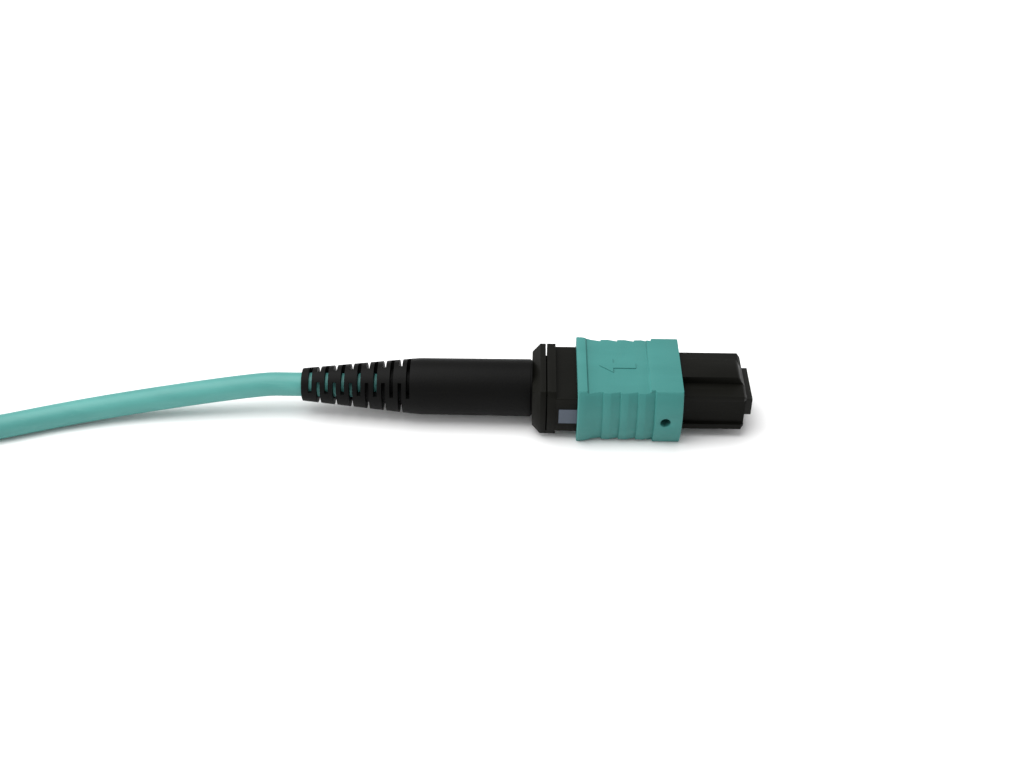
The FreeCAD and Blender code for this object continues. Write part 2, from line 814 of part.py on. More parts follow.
def hank_outline():
    """Two round lobes and a waist, as high as the turns lie."""
    top, waist = hank_half_width, hank_waist
    quarter, drop = hank_run / 4, (top - waist) / 2
    radius = (quarter ** 2 + drop ** 2) / (2 * drop)
    half_turn = math.asin(quarter / radius) / 2
    along, down = radius * math.sin(half_turn), radius * (1 - math.cos(half_turn))
    edges = []
    for side in SIDES:
        for end in (1, -1):
            lobe = hank_middle_x + end * hank_run / 2
            join = V(hank_middle_x + end * quarter, side * (waist + drop), table_z)
            edges.append(arc(
                V(lobe, side * top, table_z),
                V(lobe - end * along, side * (top - down), table_z),
                join,
            ))
            edges.append(arc(
                join,
                V(hank_middle_x + end * along, side * (waist + down), table_z),
                V(hank_middle_x, side * waist, table_z),
            ))
    for end in (1, -1):
        lobe = hank_middle_x + end * hank_run / 2
        edges.append(arc(
            V(lobe, -top, table_z), V(lobe + end * top, 0, table_z), V(lobe, top, table_z),
        ))
    outline = Part.Wire(Part.__sortEdges__(edges))
    return Part.Face(outline).extrude(V(0, 0, hank_height))


def tie_core():
    """Where the turns pass through the tie, lifted off the table by the tie's thickness."""
    width = 2 * (hank_waist + hank_tie_play)
    core = block(
        hank_middle_x - hank_tie_width / 2, hank_middle_x + hank_tie_width / 2, width, hank_height
    )
    core.translate(V(0, 0, table_z + hank_tie_thickness + hank_height / 2))
    long_edges = [e for e in core.Edges if e.BoundBox.XLength > hank_tie_width - edge_tolerance]
    return core.makeFillet(hank_tie_corner - hank_tie_thickness, long_edges)


def cable_tie():
    """Band round the waist of the hank, flat on the table below."""
    core = tie_core()
    centre_z = table_z + hank_tie_thickness + hank_height / 2
    outer = block(
        hank_middle_x - hank_tie_width / 2, hank_middle_x + hank_tie_width / 2,
        2 * (hank_waist + hank_tie_play + hank_tie_thickness), hank_height + 2 * hank_tie_thickness,
    )
    outer.translate(V(0, 0, centre_z))
    long_edges = [e for e in outer.Edges if e.BoundBox.XLength > hank_tie_width - edge_tolerance]
    return outer.makeFillet(hank_tie_corner, long_edges).cut(core)


def cable_hank():
    """The wound length of the cable as one closed body, squeezed where the tie holds it."""
    return hank_outline().fuse(tie_core()).cut(cable_tie()).removeSplitter()


PIECES = {
    "mt_ferrule": mt_ferrule,
    "fibre_array": fibre_array,
    "epoxy_fill": epoxy_fill,
    "rubber_boot": rubber_boot,
    "spring_spacer": spring_spacer,
    "main_spring": main_spring,
    "fibre_ribbon": fibre_ribbon,
    "inner_housing": inner_housing,
    "position_mark": position_mark,
    "pull_sleeve": pull_sleeve,
    "rear_body": rear_body,
    "aramid_yarn": aramid_yarn,
    "crimp_ring": crimp_ring,
    "cable_boot": cable_boot,
    "cable_lead": cable_lead,
    "cable_hank": cable_hank,
    "cable_tie": cable_tie,
}
SPRING_SIDES = {"sleeve_spring_left": 1, "sleeve_spring_right": -1}


def build():
    """Make every piece and write it as one STEP file."""
    os.makedirs("parts", exist_ok=True)
    shapes = {name: make() for name, make in PIECES.items()}
    for name, side in SPRING_SIDES.items():
        shapes[name] = sleeve_spring(side)
    for name, shape in shapes.items():
        print(f"{name}: {len(shape.Solids)} solids, {shape.Volume:.3f} mm3, valid {shape.isValid()}")
        shape.exportStep(f"parts/{name}.step")


build()
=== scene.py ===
"""A multi-fibre push-on connector on a round cable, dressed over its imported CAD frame.

Lengths are metres in the CAD frame: +X out of the mating face, +Z the key side, the origin in
the middle of the mating face. Each sub-assembly is a class, and main() builds them in order.
"""
from __future__ import annotations

import json
import logging
import math
from dataclasses import dataclass
from enum import Enum
from functools import cache
from typing import Iterable, Sequence

import bmesh
import bpy
from mathutils import Matrix, Vector

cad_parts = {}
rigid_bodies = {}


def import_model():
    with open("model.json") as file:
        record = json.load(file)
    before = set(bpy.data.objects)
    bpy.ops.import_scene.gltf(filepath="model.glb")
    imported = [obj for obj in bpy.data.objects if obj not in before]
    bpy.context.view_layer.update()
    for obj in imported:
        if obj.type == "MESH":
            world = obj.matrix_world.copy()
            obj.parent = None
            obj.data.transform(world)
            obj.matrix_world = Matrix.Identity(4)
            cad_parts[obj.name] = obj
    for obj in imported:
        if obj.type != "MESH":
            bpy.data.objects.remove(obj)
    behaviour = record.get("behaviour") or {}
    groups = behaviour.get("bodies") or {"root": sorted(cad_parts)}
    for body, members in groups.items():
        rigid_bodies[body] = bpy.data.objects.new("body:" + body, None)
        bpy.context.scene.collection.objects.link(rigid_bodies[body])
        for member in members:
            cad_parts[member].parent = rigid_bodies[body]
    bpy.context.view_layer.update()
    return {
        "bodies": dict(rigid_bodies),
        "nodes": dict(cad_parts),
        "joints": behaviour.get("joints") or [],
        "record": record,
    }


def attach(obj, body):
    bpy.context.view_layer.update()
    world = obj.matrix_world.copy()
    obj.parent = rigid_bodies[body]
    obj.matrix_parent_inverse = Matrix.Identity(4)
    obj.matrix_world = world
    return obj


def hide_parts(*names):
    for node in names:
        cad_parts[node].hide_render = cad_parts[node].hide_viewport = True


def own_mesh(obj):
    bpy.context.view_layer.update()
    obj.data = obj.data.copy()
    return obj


LOG = logging.getLogger("connector")
MM = 0.001
NEAR = 0.005 * MM
MERGE = 0.0005 * MM
FLAT_DEG = 0.6
ROUNDING_STEPS = 2
LAID_ALONG_X = (0.0, math.radians(90), 0.0)

Colour = tuple[float, float, float]
Point = tuple[float, float, float]
Outline = Sequence[tuple[float, float]]
Piece = bpy.types.Object
Material = bpy.types.Material
Socket = bpy.types.NodeSocket


class Body(Enum):
    """The CAD's rigid bodies."""

    HOUSING = "housing"
    SLEEVE = "sleeve"
    FERRULE = "ferrule"


class Slot(Enum):
    """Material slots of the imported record."""

    FERRULE_RESIN = "ferrule_resin"
    FIBRE_GLASS = "fibre_glass"
    EPOXY = "epoxy"
    BLACK_RUBBER = "black_rubber"
    BLACK_PLASTIC = "black_plastic"
    AQUA_PLASTIC = "aqua_plastic"
    SPRING_STEEL = "spring_steel"
    MARK_PRINT = "mark_print"
    CRIMP_METAL = "crimp_metal"
    YARN = "yarn"
    RIBBON = "ribbon"
    CABLE_JACKET = "cable_jacket"
    TIE_BAND = "tie_band"


# ---- Node trees ----


def rgba(colour: Colour) -> tuple[float, float, float, float]:
    """Return the colour with full alpha."""
    return (*colour, 1.0)


class NodeTree:
    """A node tree under construction."""

    prefix = "ShaderNode"

    def __init__(self, tree: bpy.types.NodeTree) -> None:
        """Take up the tree that the nodes go into."""
        self.tree = tree

    def feed(self, target: Socket, source: object) -> None:
        """Link a socket to a target, or set the target to a plain value.

        Args:
            target: an input of a node.
            source: the socket or the value.
        """
        if isinstance(source, Socket):
            self.tree.links.new(source, target)
        else:
            target.default_value = source

    def node(
        self, kind: str, inputs: dict[str | int, object] | None = None, **values: object
    ) -> bpy.types.Node:
        """Place a node.

        Args:
            kind: its type name, in full or without the tree's prefix.
            inputs: a socket or a value for each input, by name or number.
            values: its properties.

        Returns:
            The new node.
        """
        made = self.tree.nodes.new(kind if "Node" in kind else self.prefix + kind)
        for key, value in values.items():
            setattr(made, key, value)
        for key, source in (inputs or {}).items():
            self.feed(made.inputs[key], source)
        return made

    def math(self, operation: str, *terms: object, clamp: bool = False) -> Socket:
        """Return the result of a Math node on sockets or numbers."""
        inputs = dict(enumerate(terms))
        return self.node("ShaderNodeMath", inputs, operation=operation, use_clamp=clamp).outputs[0]

    def mix(self, mask: Socket, below: object, above: object) -> Socket:
        """Return the colour above laid over the colour below by a mask."""
        made = self.node("Mix", {"Factor": mask, "A": below, "B": above}, data_type="RGBA")
        return made.outputs["Result"]


class GroupTree(NodeTree):
    """A node group under construction, which has sockets of its own."""

    def __init__(self, name: str, kind: str) -> None:
        """Start a group.

        Args:
            name: the group's name.
            kind: ShaderNodeTree or GeometryNodeTree.
        """
        super().__init__(bpy.data.node_groups.new(name, kind))
        self.entry = self.tree.nodes.new("NodeGroupInput")
        self.exit = self.tree.nodes.new("NodeGroupOutput")

    def socket(self, name: str, kind: str, side: str = "INPUT") -> object:
        """Add a socket to the group's inputs or outputs.

        Args:
            name: the socket's name.
            kind: Float, Int, Vector, Color, Material or Geometry.
            side: INPUT or OUTPUT.

        Returns:
            The interface socket.
        """
        return self.tree.interface.new_socket(
            name=name, in_out=side, socket_type=f"NodeSocket{kind}"
        )

    def __getitem__(self, name: str) -> Socket:
        """Return the socket that brings the named input in."""
        return self.entry.outputs[name]


class ShaderGroup(GroupTree):
    """A shader node group under construction."""

    def __init__(self, name: str, outputs: Sequence[str], **inputs: object) -> None:
        """Start a group whose first input is Vector.

        Args:
            name: the group's name.
            outputs: names of its outputs, of which Colour is a colour.
            inputs: value of each further input, a number or a colour with alpha.
        """
        super().__init__(name, "ShaderNodeTree")
        self.socket("Vector", "Vector")
        for key, value in inputs.items():
            made = self.socket(key, "Color" if isinstance(value, tuple) else "Float")
            made.default_value = value
        for key in outputs:
            self.socket(key, "Color" if key == "Colour" else "Float", "OUTPUT")

    def ramp(self, value: Socket, low: float, high: float) -> Socket:
        """Return 0 where the value is at low, 1 where it is at high, and a ramp between."""
        inputs = {"Value": value, "From Min": low, "From Max": high}
        return self.node("MapRange", inputs).outputs[0]

    def cells(self) -> Socket:
        """Return the distance to the nearest of some scattered points."""
        inputs = {"Vector": self["Vector"], "Scale": self["Scale"], "Randomness": 1.0}
        return self.node("TexVoronoi", inputs, feature="F1").outputs["Distance"]

    def streaks(self, rate: float, detail: float) -> Socket:
        """Make a noise that is drawn out along X.

        Args:
            rate: how fast it changes along X, against across.
            detail: how many finer layers it has.

        Returns:
            The noise.
        """
        drawn = self.node(
            "VectorMath", {0: self["Vector"], 1: (rate, 1.0, 1.0)}, operation="MULTIPLY"
        )
        inputs = {"Vector": drawn.outputs[0], "Scale": self["Scale"], "Detail": detail}
        return self.node("TexNoise", inputs).outputs["Fac"]

    def close(self, **results: Socket) -> bpy.types.NodeTree:
        """Put the results out and return the group's tree."""
        for key, source in results.items():
            self.feed(self.exit.inputs[key], source)
        return self.tree


@cache
def moulded_grain() -> bpy.types.NodeTree:
    """Fine tool-cut grain of a moulding: a height, and a roughness that follows it.

    Returns:
        Group with inputs Vector, Scale, Roughness, Spread and outputs Height, Roughness.
    """
    swell_rate, pit_share, middle = 0.12, 0.45, 0.5
    group = ShaderGroup(
        "moulded_grain", ("Height", "Roughness"), Scale=4000.0, Roughness=0.4, Spread=0.1
    )
    swell = group.node("TexNoise", {
        "Vector": group["Vector"],
        "Scale": group.math("MULTIPLY", group["Scale"], swell_rate),
        "Detail": 5.0,
        "Roughness": 0.62,
    }).outputs["Fac"]
    centred = group.math("SUBTRACT", swell, middle)
    return group.close(
        Height=group.math("MULTIPLY_ADD", group.cells(), pit_share, swell),
        Roughness=group.math("MULTIPLY_ADD", centred, group["Spread"], group["Roughness"]),
    )


@cache
def flow_mottle() -> bpy.types.NodeTree:
    """Slow colour drift of a pigmented melt, long in the direction of flow.

    Returns:
        Group with inputs Vector, Scale, Colour, Shade and output Colour.
    """
    colour, shade = rgba((0.5, 0.5, 0.5)), rgba((0.4, 0.4, 0.4))
    group = ShaderGroup("flow_mottle", ("Colour",), Scale=300.0, Colour=colour, Shade=shade)
    drift = group.ramp(group.streaks(rate=0.35, detail=3.0), low=0.38, high=0.66)
    return group.close(Colour=group.mix(drift, group["Colour"], group["Shade"]))


@cache
def rub_marks() -> bpy.types.NodeTree:
    """Fine rub marks along X, where a part slides or is handled.

    Returns:
        Group with inputs Vector, Scale, Amount and output Mask.
    """
    group = ShaderGroup("rub_marks", ("Mask",), Scale=1500.0, Amount=0.3)
    lines = group.ramp(group.streaks(rate=0.06, detail=6.0), low=0.6, high=0.74)
    return group.close(Mask=group.math("MULTIPLY", lines, group["Amount"], clamp=True))


@cache
def settled_dust() -> bpy.types.NodeTree:
    """Specks that settle on faces that look up.

    Returns:
        Group with inputs Vector, Scale, Amount and output Mask.
    """
    group = ShaderGroup("settled_dust", ("Mask",), Scale=2500.0, Amount=0.2)
    facing = group.node("SeparateXYZ", {0: group.node("NewGeometry").outputs["Normal"]})
    upward = group.ramp(facing.outputs["Z"], low=0.2, high=1.0)
    specks = group.ramp(group.cells(), low=0.16, high=0.05)
    where = group.math("MULTIPLY", upward, specks)
    return group.close(Mask=group.math("MULTIPLY", where, group["Amount"], clamp=True))


# ---- Finishes ----


class MaterialDesk(NodeTree):
    """A material under construction, with its Principled shader and Object coordinates."""

    def __init__(self, name: str) -> None:
        """Start a material.

        Args:
            name: the material's name.
        """
        self.material = bpy.data.materials.new(name)
        self.material.use_nodes = True
        super().__init__(self.material.node_tree)
        self.shader = self.tree.nodes["Principled BSDF"]
        self.place = self.node("TexCoord").outputs["Object"]

    def effect(self, group: bpy.types.NodeTree, **values: float | Colour) -> bpy.types.Node:
        """Place a shared group, its Vector input linked to Object coordinates.

        Args:
            group: the group's tree.
            values: value of each input that isn't left at the group's own.

        Returns:
            The group node.
        """
        inputs = {key: rgba(v) if isinstance(v, tuple) else v for key, v in values.items()}
        return self.node("Group", {"Vector": self.place, **inputs}, node_tree=group)

    def bump(self, height: Socket, depth: float) -> Socket:
        """Return the normal of a surface with this height, the depth being in metres."""
        return self.node("Bump", {"Distance": depth, "Height": height}).outputs["Normal"]

    def finish(self, inputs: dict[str, object]) -> Material:
        """Feed sockets or constants to the Principled shader and return the material."""
        for key, source in inputs.items():
            self.feed(self.shader.inputs[key], source)
        return self.material


@dataclass(frozen=True)
class GrainedFinish:
    """What the finishes with a drifting colour and a fine grain share."""

    name: str
    colour: Colour
    shade: Colour
    roughness: float
    spread: float
    grain_scale: float
    mottle_scale: float

    def start(self) -> tuple[MaterialDesk, Socket, bpy.types.Node]:
        """Start the material.

        Returns:
            The desk, the drifting colour and the grain's group node.
        """
        desk = MaterialDesk(self.name)
        grain = desk.effect(
            moulded_grain(), Scale=self.grain_scale, Roughness=self.roughness, Spread=self.spread
        )
        mottle = desk.effect(
            flow_mottle(), Scale=self.mottle_scale, Colour=self.colour, Shade=self.shade
        )
        return desk, mottle.outputs["Colour"], grain


@dataclass(frozen=True)
class MouldedPlastic(GrainedFinish):
    """Injection-moulded plastic: pigment drift, fine grain, rub marks and a little dust."""

    roughness: float = 0.42
    spread: float = 0.12
    grain_scale: float = 5200.0
    mottle_scale: float = 260.0
    grain_depth: float = 0.012 * MM
    rub: float = 0.25
    rub_colour: Colour = (0.3, 0.3, 0.3)
    dust: float = 0.12
    dust_colour: Colour = (0.5, 0.5, 0.48)
    specular: float = 0.3

    def make(self) -> Material:
        """Build the material.

        Returns:
            The finished material.
        """
        desk, colour, grain = self.start()
        rub = desk.effect(rub_marks(), Amount=self.rub)
        dust = desk.effect(settled_dust(), Amount=self.dust)
        rubbed = desk.mix(rub.outputs["Mask"], colour, rgba(self.rub_colour))
        return desk.finish({
            "Base Color": desk.mix(dust.outputs["Mask"], rubbed, rgba(self.dust_colour)),
            "Roughness": grain.outputs["Roughness"],
            "Normal": desk.bump(grain.outputs["Height"], self.grain_depth),
            "Specular IOR Level": self.specular,
        })


@dataclass(frozen=True)
class DrawnMetal(GrainedFinish):
    """Drawn or turned metal with fine lines round its length."""

    roughness: float = 0.3
    spread: float = 0.2
    grain_scale: float = 6000.0
    mottle_scale: float = 900.0
    line_scale: float = 9000.0
    line_depth: float = 0.004 * MM

    def make(self) -> Material:
        """Build the material.

        Returns:
            The finished material.
        """
        desk, colour, grain = self.start()
        lines = desk.effect(rub_marks(), Scale=self.line_scale, Amount=1.0)
        return desk.finish({
            "Base Color": colour,
            "Roughness": grain.outputs["Roughness"],
            "Normal": desk.bump(lines.outputs["Mask"], self.line_depth),
            "Metallic": 1.0,
        })


@dataclass(frozen=True)
class ExtrudedJacket(GrainedFinish):
    """Extruded cable jacket: satin skin with faint draw lines and scuffs."""

    roughness: float = 0.46
    spread: float = 0.16
    grain_scale: float = 3600.0
    mottle_scale: float = 420.0
    grain_depth: float = 0.02 * MM
    scuff_scale: float = 2200.0
    scuff: float = 0.22
    scuff_colour: Colour = (0.16, 0.38, 0.35)
    specular: float = 0.35

    def make(self) -> Material:
        """Build the material.

        Returns:
            The finished material.
        """
        desk, colour, grain = self.start()
        scuff = desk.effect(rub_marks(), Scale=self.scuff_scale, Amount=self.scuff)
        return desk.finish({
            "Base Color": desk.mix(scuff.outputs["Mask"], colour, rgba(self.scuff_colour)),
            "Roughness": grain.outputs["Roughness"],
            "Normal": desk.bump(grain.outputs["Height"], self.grain_depth),
            "Specular IOR Level": self.specular,
        })


@dataclass(frozen=True)
class ClearResin:
    """Clear or amber cast resin and glass."""

    name: str
    colour: Colour
    roughness: float
    transmission: float
    ior: float = 1.46
    mottle_scale: float = 1200.0
    shade_share: float = 0.8

    def make(self) -> Material:
        """Build the material.

        Returns:
            The finished material.
        """
        desk = MaterialDesk(self.name)
        shade = tuple(self.shade_share * part for part in self.colour)
        mottle = desk.effect(
            flow_mottle(), Scale=self.mottle_scale, Colour=self.colour, Shade=shade
        )
        return desk.finish({
            "Base Color": mottle.outputs["Colour"],
            "Roughness": self.roughness,
            "Transmission Weight": self.transmission,
            "IOR": self.ior,
        })


@dataclass(frozen=True)
class WovenCloth:
    """Small woven or hooked cloth: two crossed waves of thread."""

    name: str
    colour: Colour
    shade: Colour
    thread_scale: float = 900.0
    distortion: float = 1.5
    thread_depth: float = 0.08 * MM
    roughness: float = 0.85
    sheen: float = 0.3

    def make(self) -> Material:
        """Build the material.

        Returns:
            The finished material.
        """
        desk = MaterialDesk(self.name)
        inputs = {
            "Vector": desk.place, "Scale": self.thread_scale, "Distortion": self.distortion,
        }
        threads = [
            desk.node("TexWave", inputs, bands_direction=way).outputs["Fac"] for way in ("X", "Y")
        ]
        weave = desk.math("MAXIMUM", *threads)
        return desk.finish({
            "Base Color": desk.mix(weave, rgba(self.shade), rgba(self.colour)),
            "Normal": desk.bump(weave, self.thread_depth),
            "Roughness": self.roughness,
            "Sheen Weight": self.sheen,
        })


FINISHES: dict[Slot, GrainedFinish | ClearResin | WovenCloth] = {
    Slot.BLACK_PLASTIC: MouldedPlastic(
        "black_moulding", (0.0050, 0.0050, 0.0038), (0.0038, 0.0038, 0.0029), roughness=0.46,
        specular=0.065, rub=0.12, rub_colour=(0.016, 0.016, 0.014), dust=0.10,
        dust_colour=(0.03, 0.03, 0.028),
    ),
    Slot.BLACK_RUBBER: MouldedPlastic(
        "black_rubber", (0.0040, 0.0040, 0.0038), (0.0031, 0.0031, 0.0030), roughness=0.50,
        specular=0.062, grain_scale=3800.0, grain_depth=0.02 * MM, rub=0.08,
        rub_colour=(0.014, 0.014, 0.013), dust=0.12, dust_colour=(0.03, 0.03, 0.028),
    ),
    Slot.AQUA_PLASTIC: MouldedPlastic(
        "aqua_moulding", (0.0445, 0.197, 0.181), (0.039, 0.181, 0.166), roughness=0.42,
        specular=0.2, rub=0.10, rub_colour=(0.075, 0.24, 0.225), dust=0.05,
        dust_colour=(0.3, 0.3, 0.29),
    ),
    Slot.FERRULE_RESIN: MouldedPlastic(
        "ferrule_resin", (0.0105, 0.0105, 0.0090), (0.0080, 0.0080, 0.0070), roughness=0.5,
        specular=0.12, grain_scale=9000.0, grain_depth=0.006 * MM, mottle_scale=900.0, rub=0.2,
        rub_colour=(0.03, 0.03, 0.028),
    ),
    Slot.FIBRE_GLASS: ClearResin("polished_fibre", (0.86, 0.90, 0.92), 0.04, 0.3),
    Slot.EPOXY: ClearResin("window_glue", (0.36, 0.17, 0.035), 0.18, 0.4, ior=1.54),
    Slot.SPRING_STEEL: DrawnMetal("spring_wire", (0.56, 0.55, 0.53), (0.46, 0.45, 0.43)),
    # The position mark is a white print. Its colour is set to the dark blue-grey it shows in the
    # shade of the side channel, so this is painted shade.
    Slot.MARK_PRINT: MouldedPlastic(
        "shade_painted_print", (0.078, 0.093, 0.119), (0.070, 0.084, 0.108), roughness=0.5, specular=0.2,
        rub=0.12, rub_colour=(0.06, 0.07, 0.09), dust=0.0,
    ),
    Slot.CRIMP_METAL: DrawnMetal(
        "crimp_metal", (0.48, 0.47, 0.45), (0.38, 0.37, 0.35), roughness=0.36
    ),
    Slot.YARN: WovenCloth(
        "aramid_fibre", (0.62, 0.42, 0.10), (0.40, 0.26, 0.06), thread_scale=1400.0
    ),
    Slot.RIBBON: MouldedPlastic(
        "ribbon_coat", (0.34, 0.40, 0.46), (0.26, 0.32, 0.40), roughness=0.3, mottle_scale=1500.0
    ),
    Slot.CABLE_JACKET: ExtrudedJacket(
        "cable_jacket", (0.075, 0.280, 0.255), (0.064, 0.250, 0.228)
    ),
    Slot.TIE_BAND: WovenCloth("tie_cloth", (0.030, 0.030, 0.032), (0.010, 0.010, 0.011)),
}


# ---- Mesh helpers ----


def link_piece(name: str, data: bpy.types.ID) -> Piece:
    """Put data into the scene as an object at the origin.

    Args:
        name: the object's name.
        data: its mesh, curve, lamp or camera.

    Returns:
        The object.
    """
    made = bpy.data.objects.new(name, data)
    bpy.context.scene.collection.objects.link(made)
    return made


def shell_piece(name: str, shell: bmesh.types.BMesh) -> Piece:
    """Turn a finished shell into a piece.

    Args:
        name: the piece's name.
        shell: its faces, freed here.

    Returns:
        The new piece.
    """
    mesh = bpy.data.meshes.new(name)
    shell.to_mesh(mesh)
    shell.free()
    return link_piece(name, mesh)


def dress(piece: Piece, material: Material) -> None:
    """Make the material the piece's only one."""
    piece.data.materials.clear()
    piece.data.materials.append(material)


def baked(piece: Piece) -> None:
    """Turn a piece's modifiers into plain mesh and remove them.

    Args:
        piece: a mesh piece.
    """
    graph = bpy.context.evaluated_depsgraph_get()
    graph.update()
    mesh = bpy.data.meshes.new_from_object(piece.evaluated_get(graph))
    piece.modifiers.clear()
    old, piece.data = piece.data, mesh
    bpy.data.meshes.remove(old)


def soften(piece: Piece, width: float, angle: float = 28.0) -> None:
    """Round a piece's sharp edges.

    Args:
        piece: a mesh piece.
        width: radius of the rounding in metres.
        angle: least angle in degrees of an edge that is rounded.
    """
    bevel = piece.modifiers.new("edge_rounding", "BEVEL")
    bevel.width = width
    bevel.segments = ROUNDING_STEPS
    bevel.limit_method = "ANGLE"
    bevel.angle_limit = math.radians(angle)
    bevel.harden_normals = True
    piece.data.shade_smooth()
    baked(piece)


def extruded(name: str, outline: Outline, low: float, high: float) -> Piece:
    """Make a flat plate from an outline in the XY plane.

    Args:
        name: name of the piece.
        outline: corners in order, in metres.
        low: its lowest Z.
        high: its highest Z.

    Returns:
        The new piece.
    """
    shell = bmesh.new()
    face = shell.faces.new([shell.verts.new((x, y, low)) for x, y in outline])
    grown = bmesh.ops.extrude_face_region(shell, geom=[face])
    lifted = [part for part in grown["geom"] if isinstance(part, bmesh.types.BMVert)]
    bmesh.ops.translate(shell, verts=lifted, vec=(0, 0, high - low))
    bmesh.ops.recalc_face_normals(shell, faces=shell.faces)
    return shell_piece(name, shell)


def lathed(name: str, profile: Outline, steps: int) -> Piece:
    """Turn a closed profile of (x, radius) about the X axis.

    Args:
        name: name of the piece.
        profile: corners in order, in metres.
        steps: faces round the axis.

    Returns:
        The new piece.
    """
    shell = bmesh.new()
    rings = []
    for step in range(steps):
        angle = 2 * math.pi * step / steps
        ring = [shell.verts.new((x, r * math.cos(angle), r * math.sin(angle))) for x, r in profile]
        rings.append(ring)
    for here, beyond in zip(rings, rings[1:] + rings[:1]):
        for corners in zip(here, here[1:] + here[:1], beyond[1:] + beyond[:1], beyond):
            shell.faces.new(corners)
    bmesh.ops.recalc_face_normals(shell, faces=shell.faces)
    return shell_piece(name, shell)


class PatternTree(GroupTree):
    """A Geometry Nodes tree under construction, with named size inputs."""

    prefix = "GeometryNode"

    def __init__(self, name: str, sizes: Sequence[str], counts: Sequence[str] = ()) -> None:
        """Start a tree whose inputs are Geometry, the sizes, the counts and Material.

        Args:
            name: the tree's name.
            sizes: names of its lengths, angles and other numbers.
            counts: names of its whole numbers.
        """
        super().__init__(name, "GeometryNodeTree")
        for side in ("INPUT", "OUTPUT"):
            self.socket("Geometry", "Geometry", side)
        kinds = {**dict.fromkeys(sizes, "Float"), **dict.fromkeys(counts, "Int")}
        kinds["Material"] = "Material"
        self.keys = {key: self.socket(key, kind).identifier for key, kind in kinds.items()}

    def vector(self, x: object = 0.0, y: object = 0.0, z: object = 0.0) -> Socket:
        """Return a vector made from three sockets or numbers."""
        return self.node("ShaderNodeCombineXYZ", {0: x, 1: y, 2: z}).outputs[0]

    def moved(self, shape: Socket, **moves: object) -> Socket:
        """Return a shape turned by Rotation and shifted by Translation."""
        return self.node("Transform", {"Geometry": shape, **moves}).outputs["Geometry"]

    def swept(self, path: Socket, section: Socket) -> Socket:
        """Return the closed solid that a section leaves along a path."""
        inputs = {"Curve": path, "Profile Curve": section, "Fill Caps": True}
        return self.node("CurveToMesh", inputs).outputs["Mesh"]

    def rod(self, sides: int, ends: str, **moves: object) -> Socket:
        """Make a rod along X from the inputs Radius and Length.

        Args:
            sides: faces round it.
            ends: how its ends are closed, as the cylinder node's fill type.
            moves: a Translation for it, where it isn't in the middle.

        Returns:
            The rod.
        """
        inputs = {"Vertices": sides, "Radius": self["Radius"], "Depth": self["Length"]}
        upright = self.node("MeshCylinder", inputs, fill_type=ends).outputs["Mesh"]
        return self.moved(upright, Rotation=LAID_ALONG_X, **moves)

    def row(self, shape: Socket, start: Socket, step: Socket) -> Socket:
        """Repeat a shape along a straight line, as often as the input Count says.

        Args:
            shape: what is repeated.
            start: place of the first one.
            step: way from each one to the next.

        Returns:
            The instances.
        """
        inputs = {"Count": self["Count"], "Start Location": start, "Offset": step}
        line = self.node("MeshLine", inputs, mode="OFFSET", count_mode="TOTAL").outputs["Mesh"]
        return self.node("InstanceOnPoints", {"Points": line, "Instance": shape}).outputs[0]

    def realized(self, shape: Socket) -> Socket:
        """Return the instances as real geometry."""
        return self.node("RealizeInstances", {"Geometry": shape}).outputs["Geometry"]

    def finish(self, shape: Socket) -> PatternTree:
        """End the tree in Realize Instances and Set Material.

        Args:
            shape: what the tree made.

        Returns:
            The tree itself.
        """
        inputs = {"Geometry": self.realized(shape), "Material": self["Material"]}
        coat = self.node("SetMaterial", inputs)
        self.feed(self.exit.inputs["Geometry"], coat.outputs["Geometry"])
        return self

    def grow(self, piece: Piece, material: Material, values: dict[str, object]) -> None:
        """Run the tree on a piece and keep the result as its mesh.

        Args:
            piece: the piece that the tree works on.
            material: the result's finish.
            values: a value for each size and count.
        """
        run = piece.modifiers.new(self.tree.name, "NODES")
        run.node_group = self.tree
        for name, value in {**values, "Material": material}.items():
            run[self.keys[name]] = value
        baked(piece)


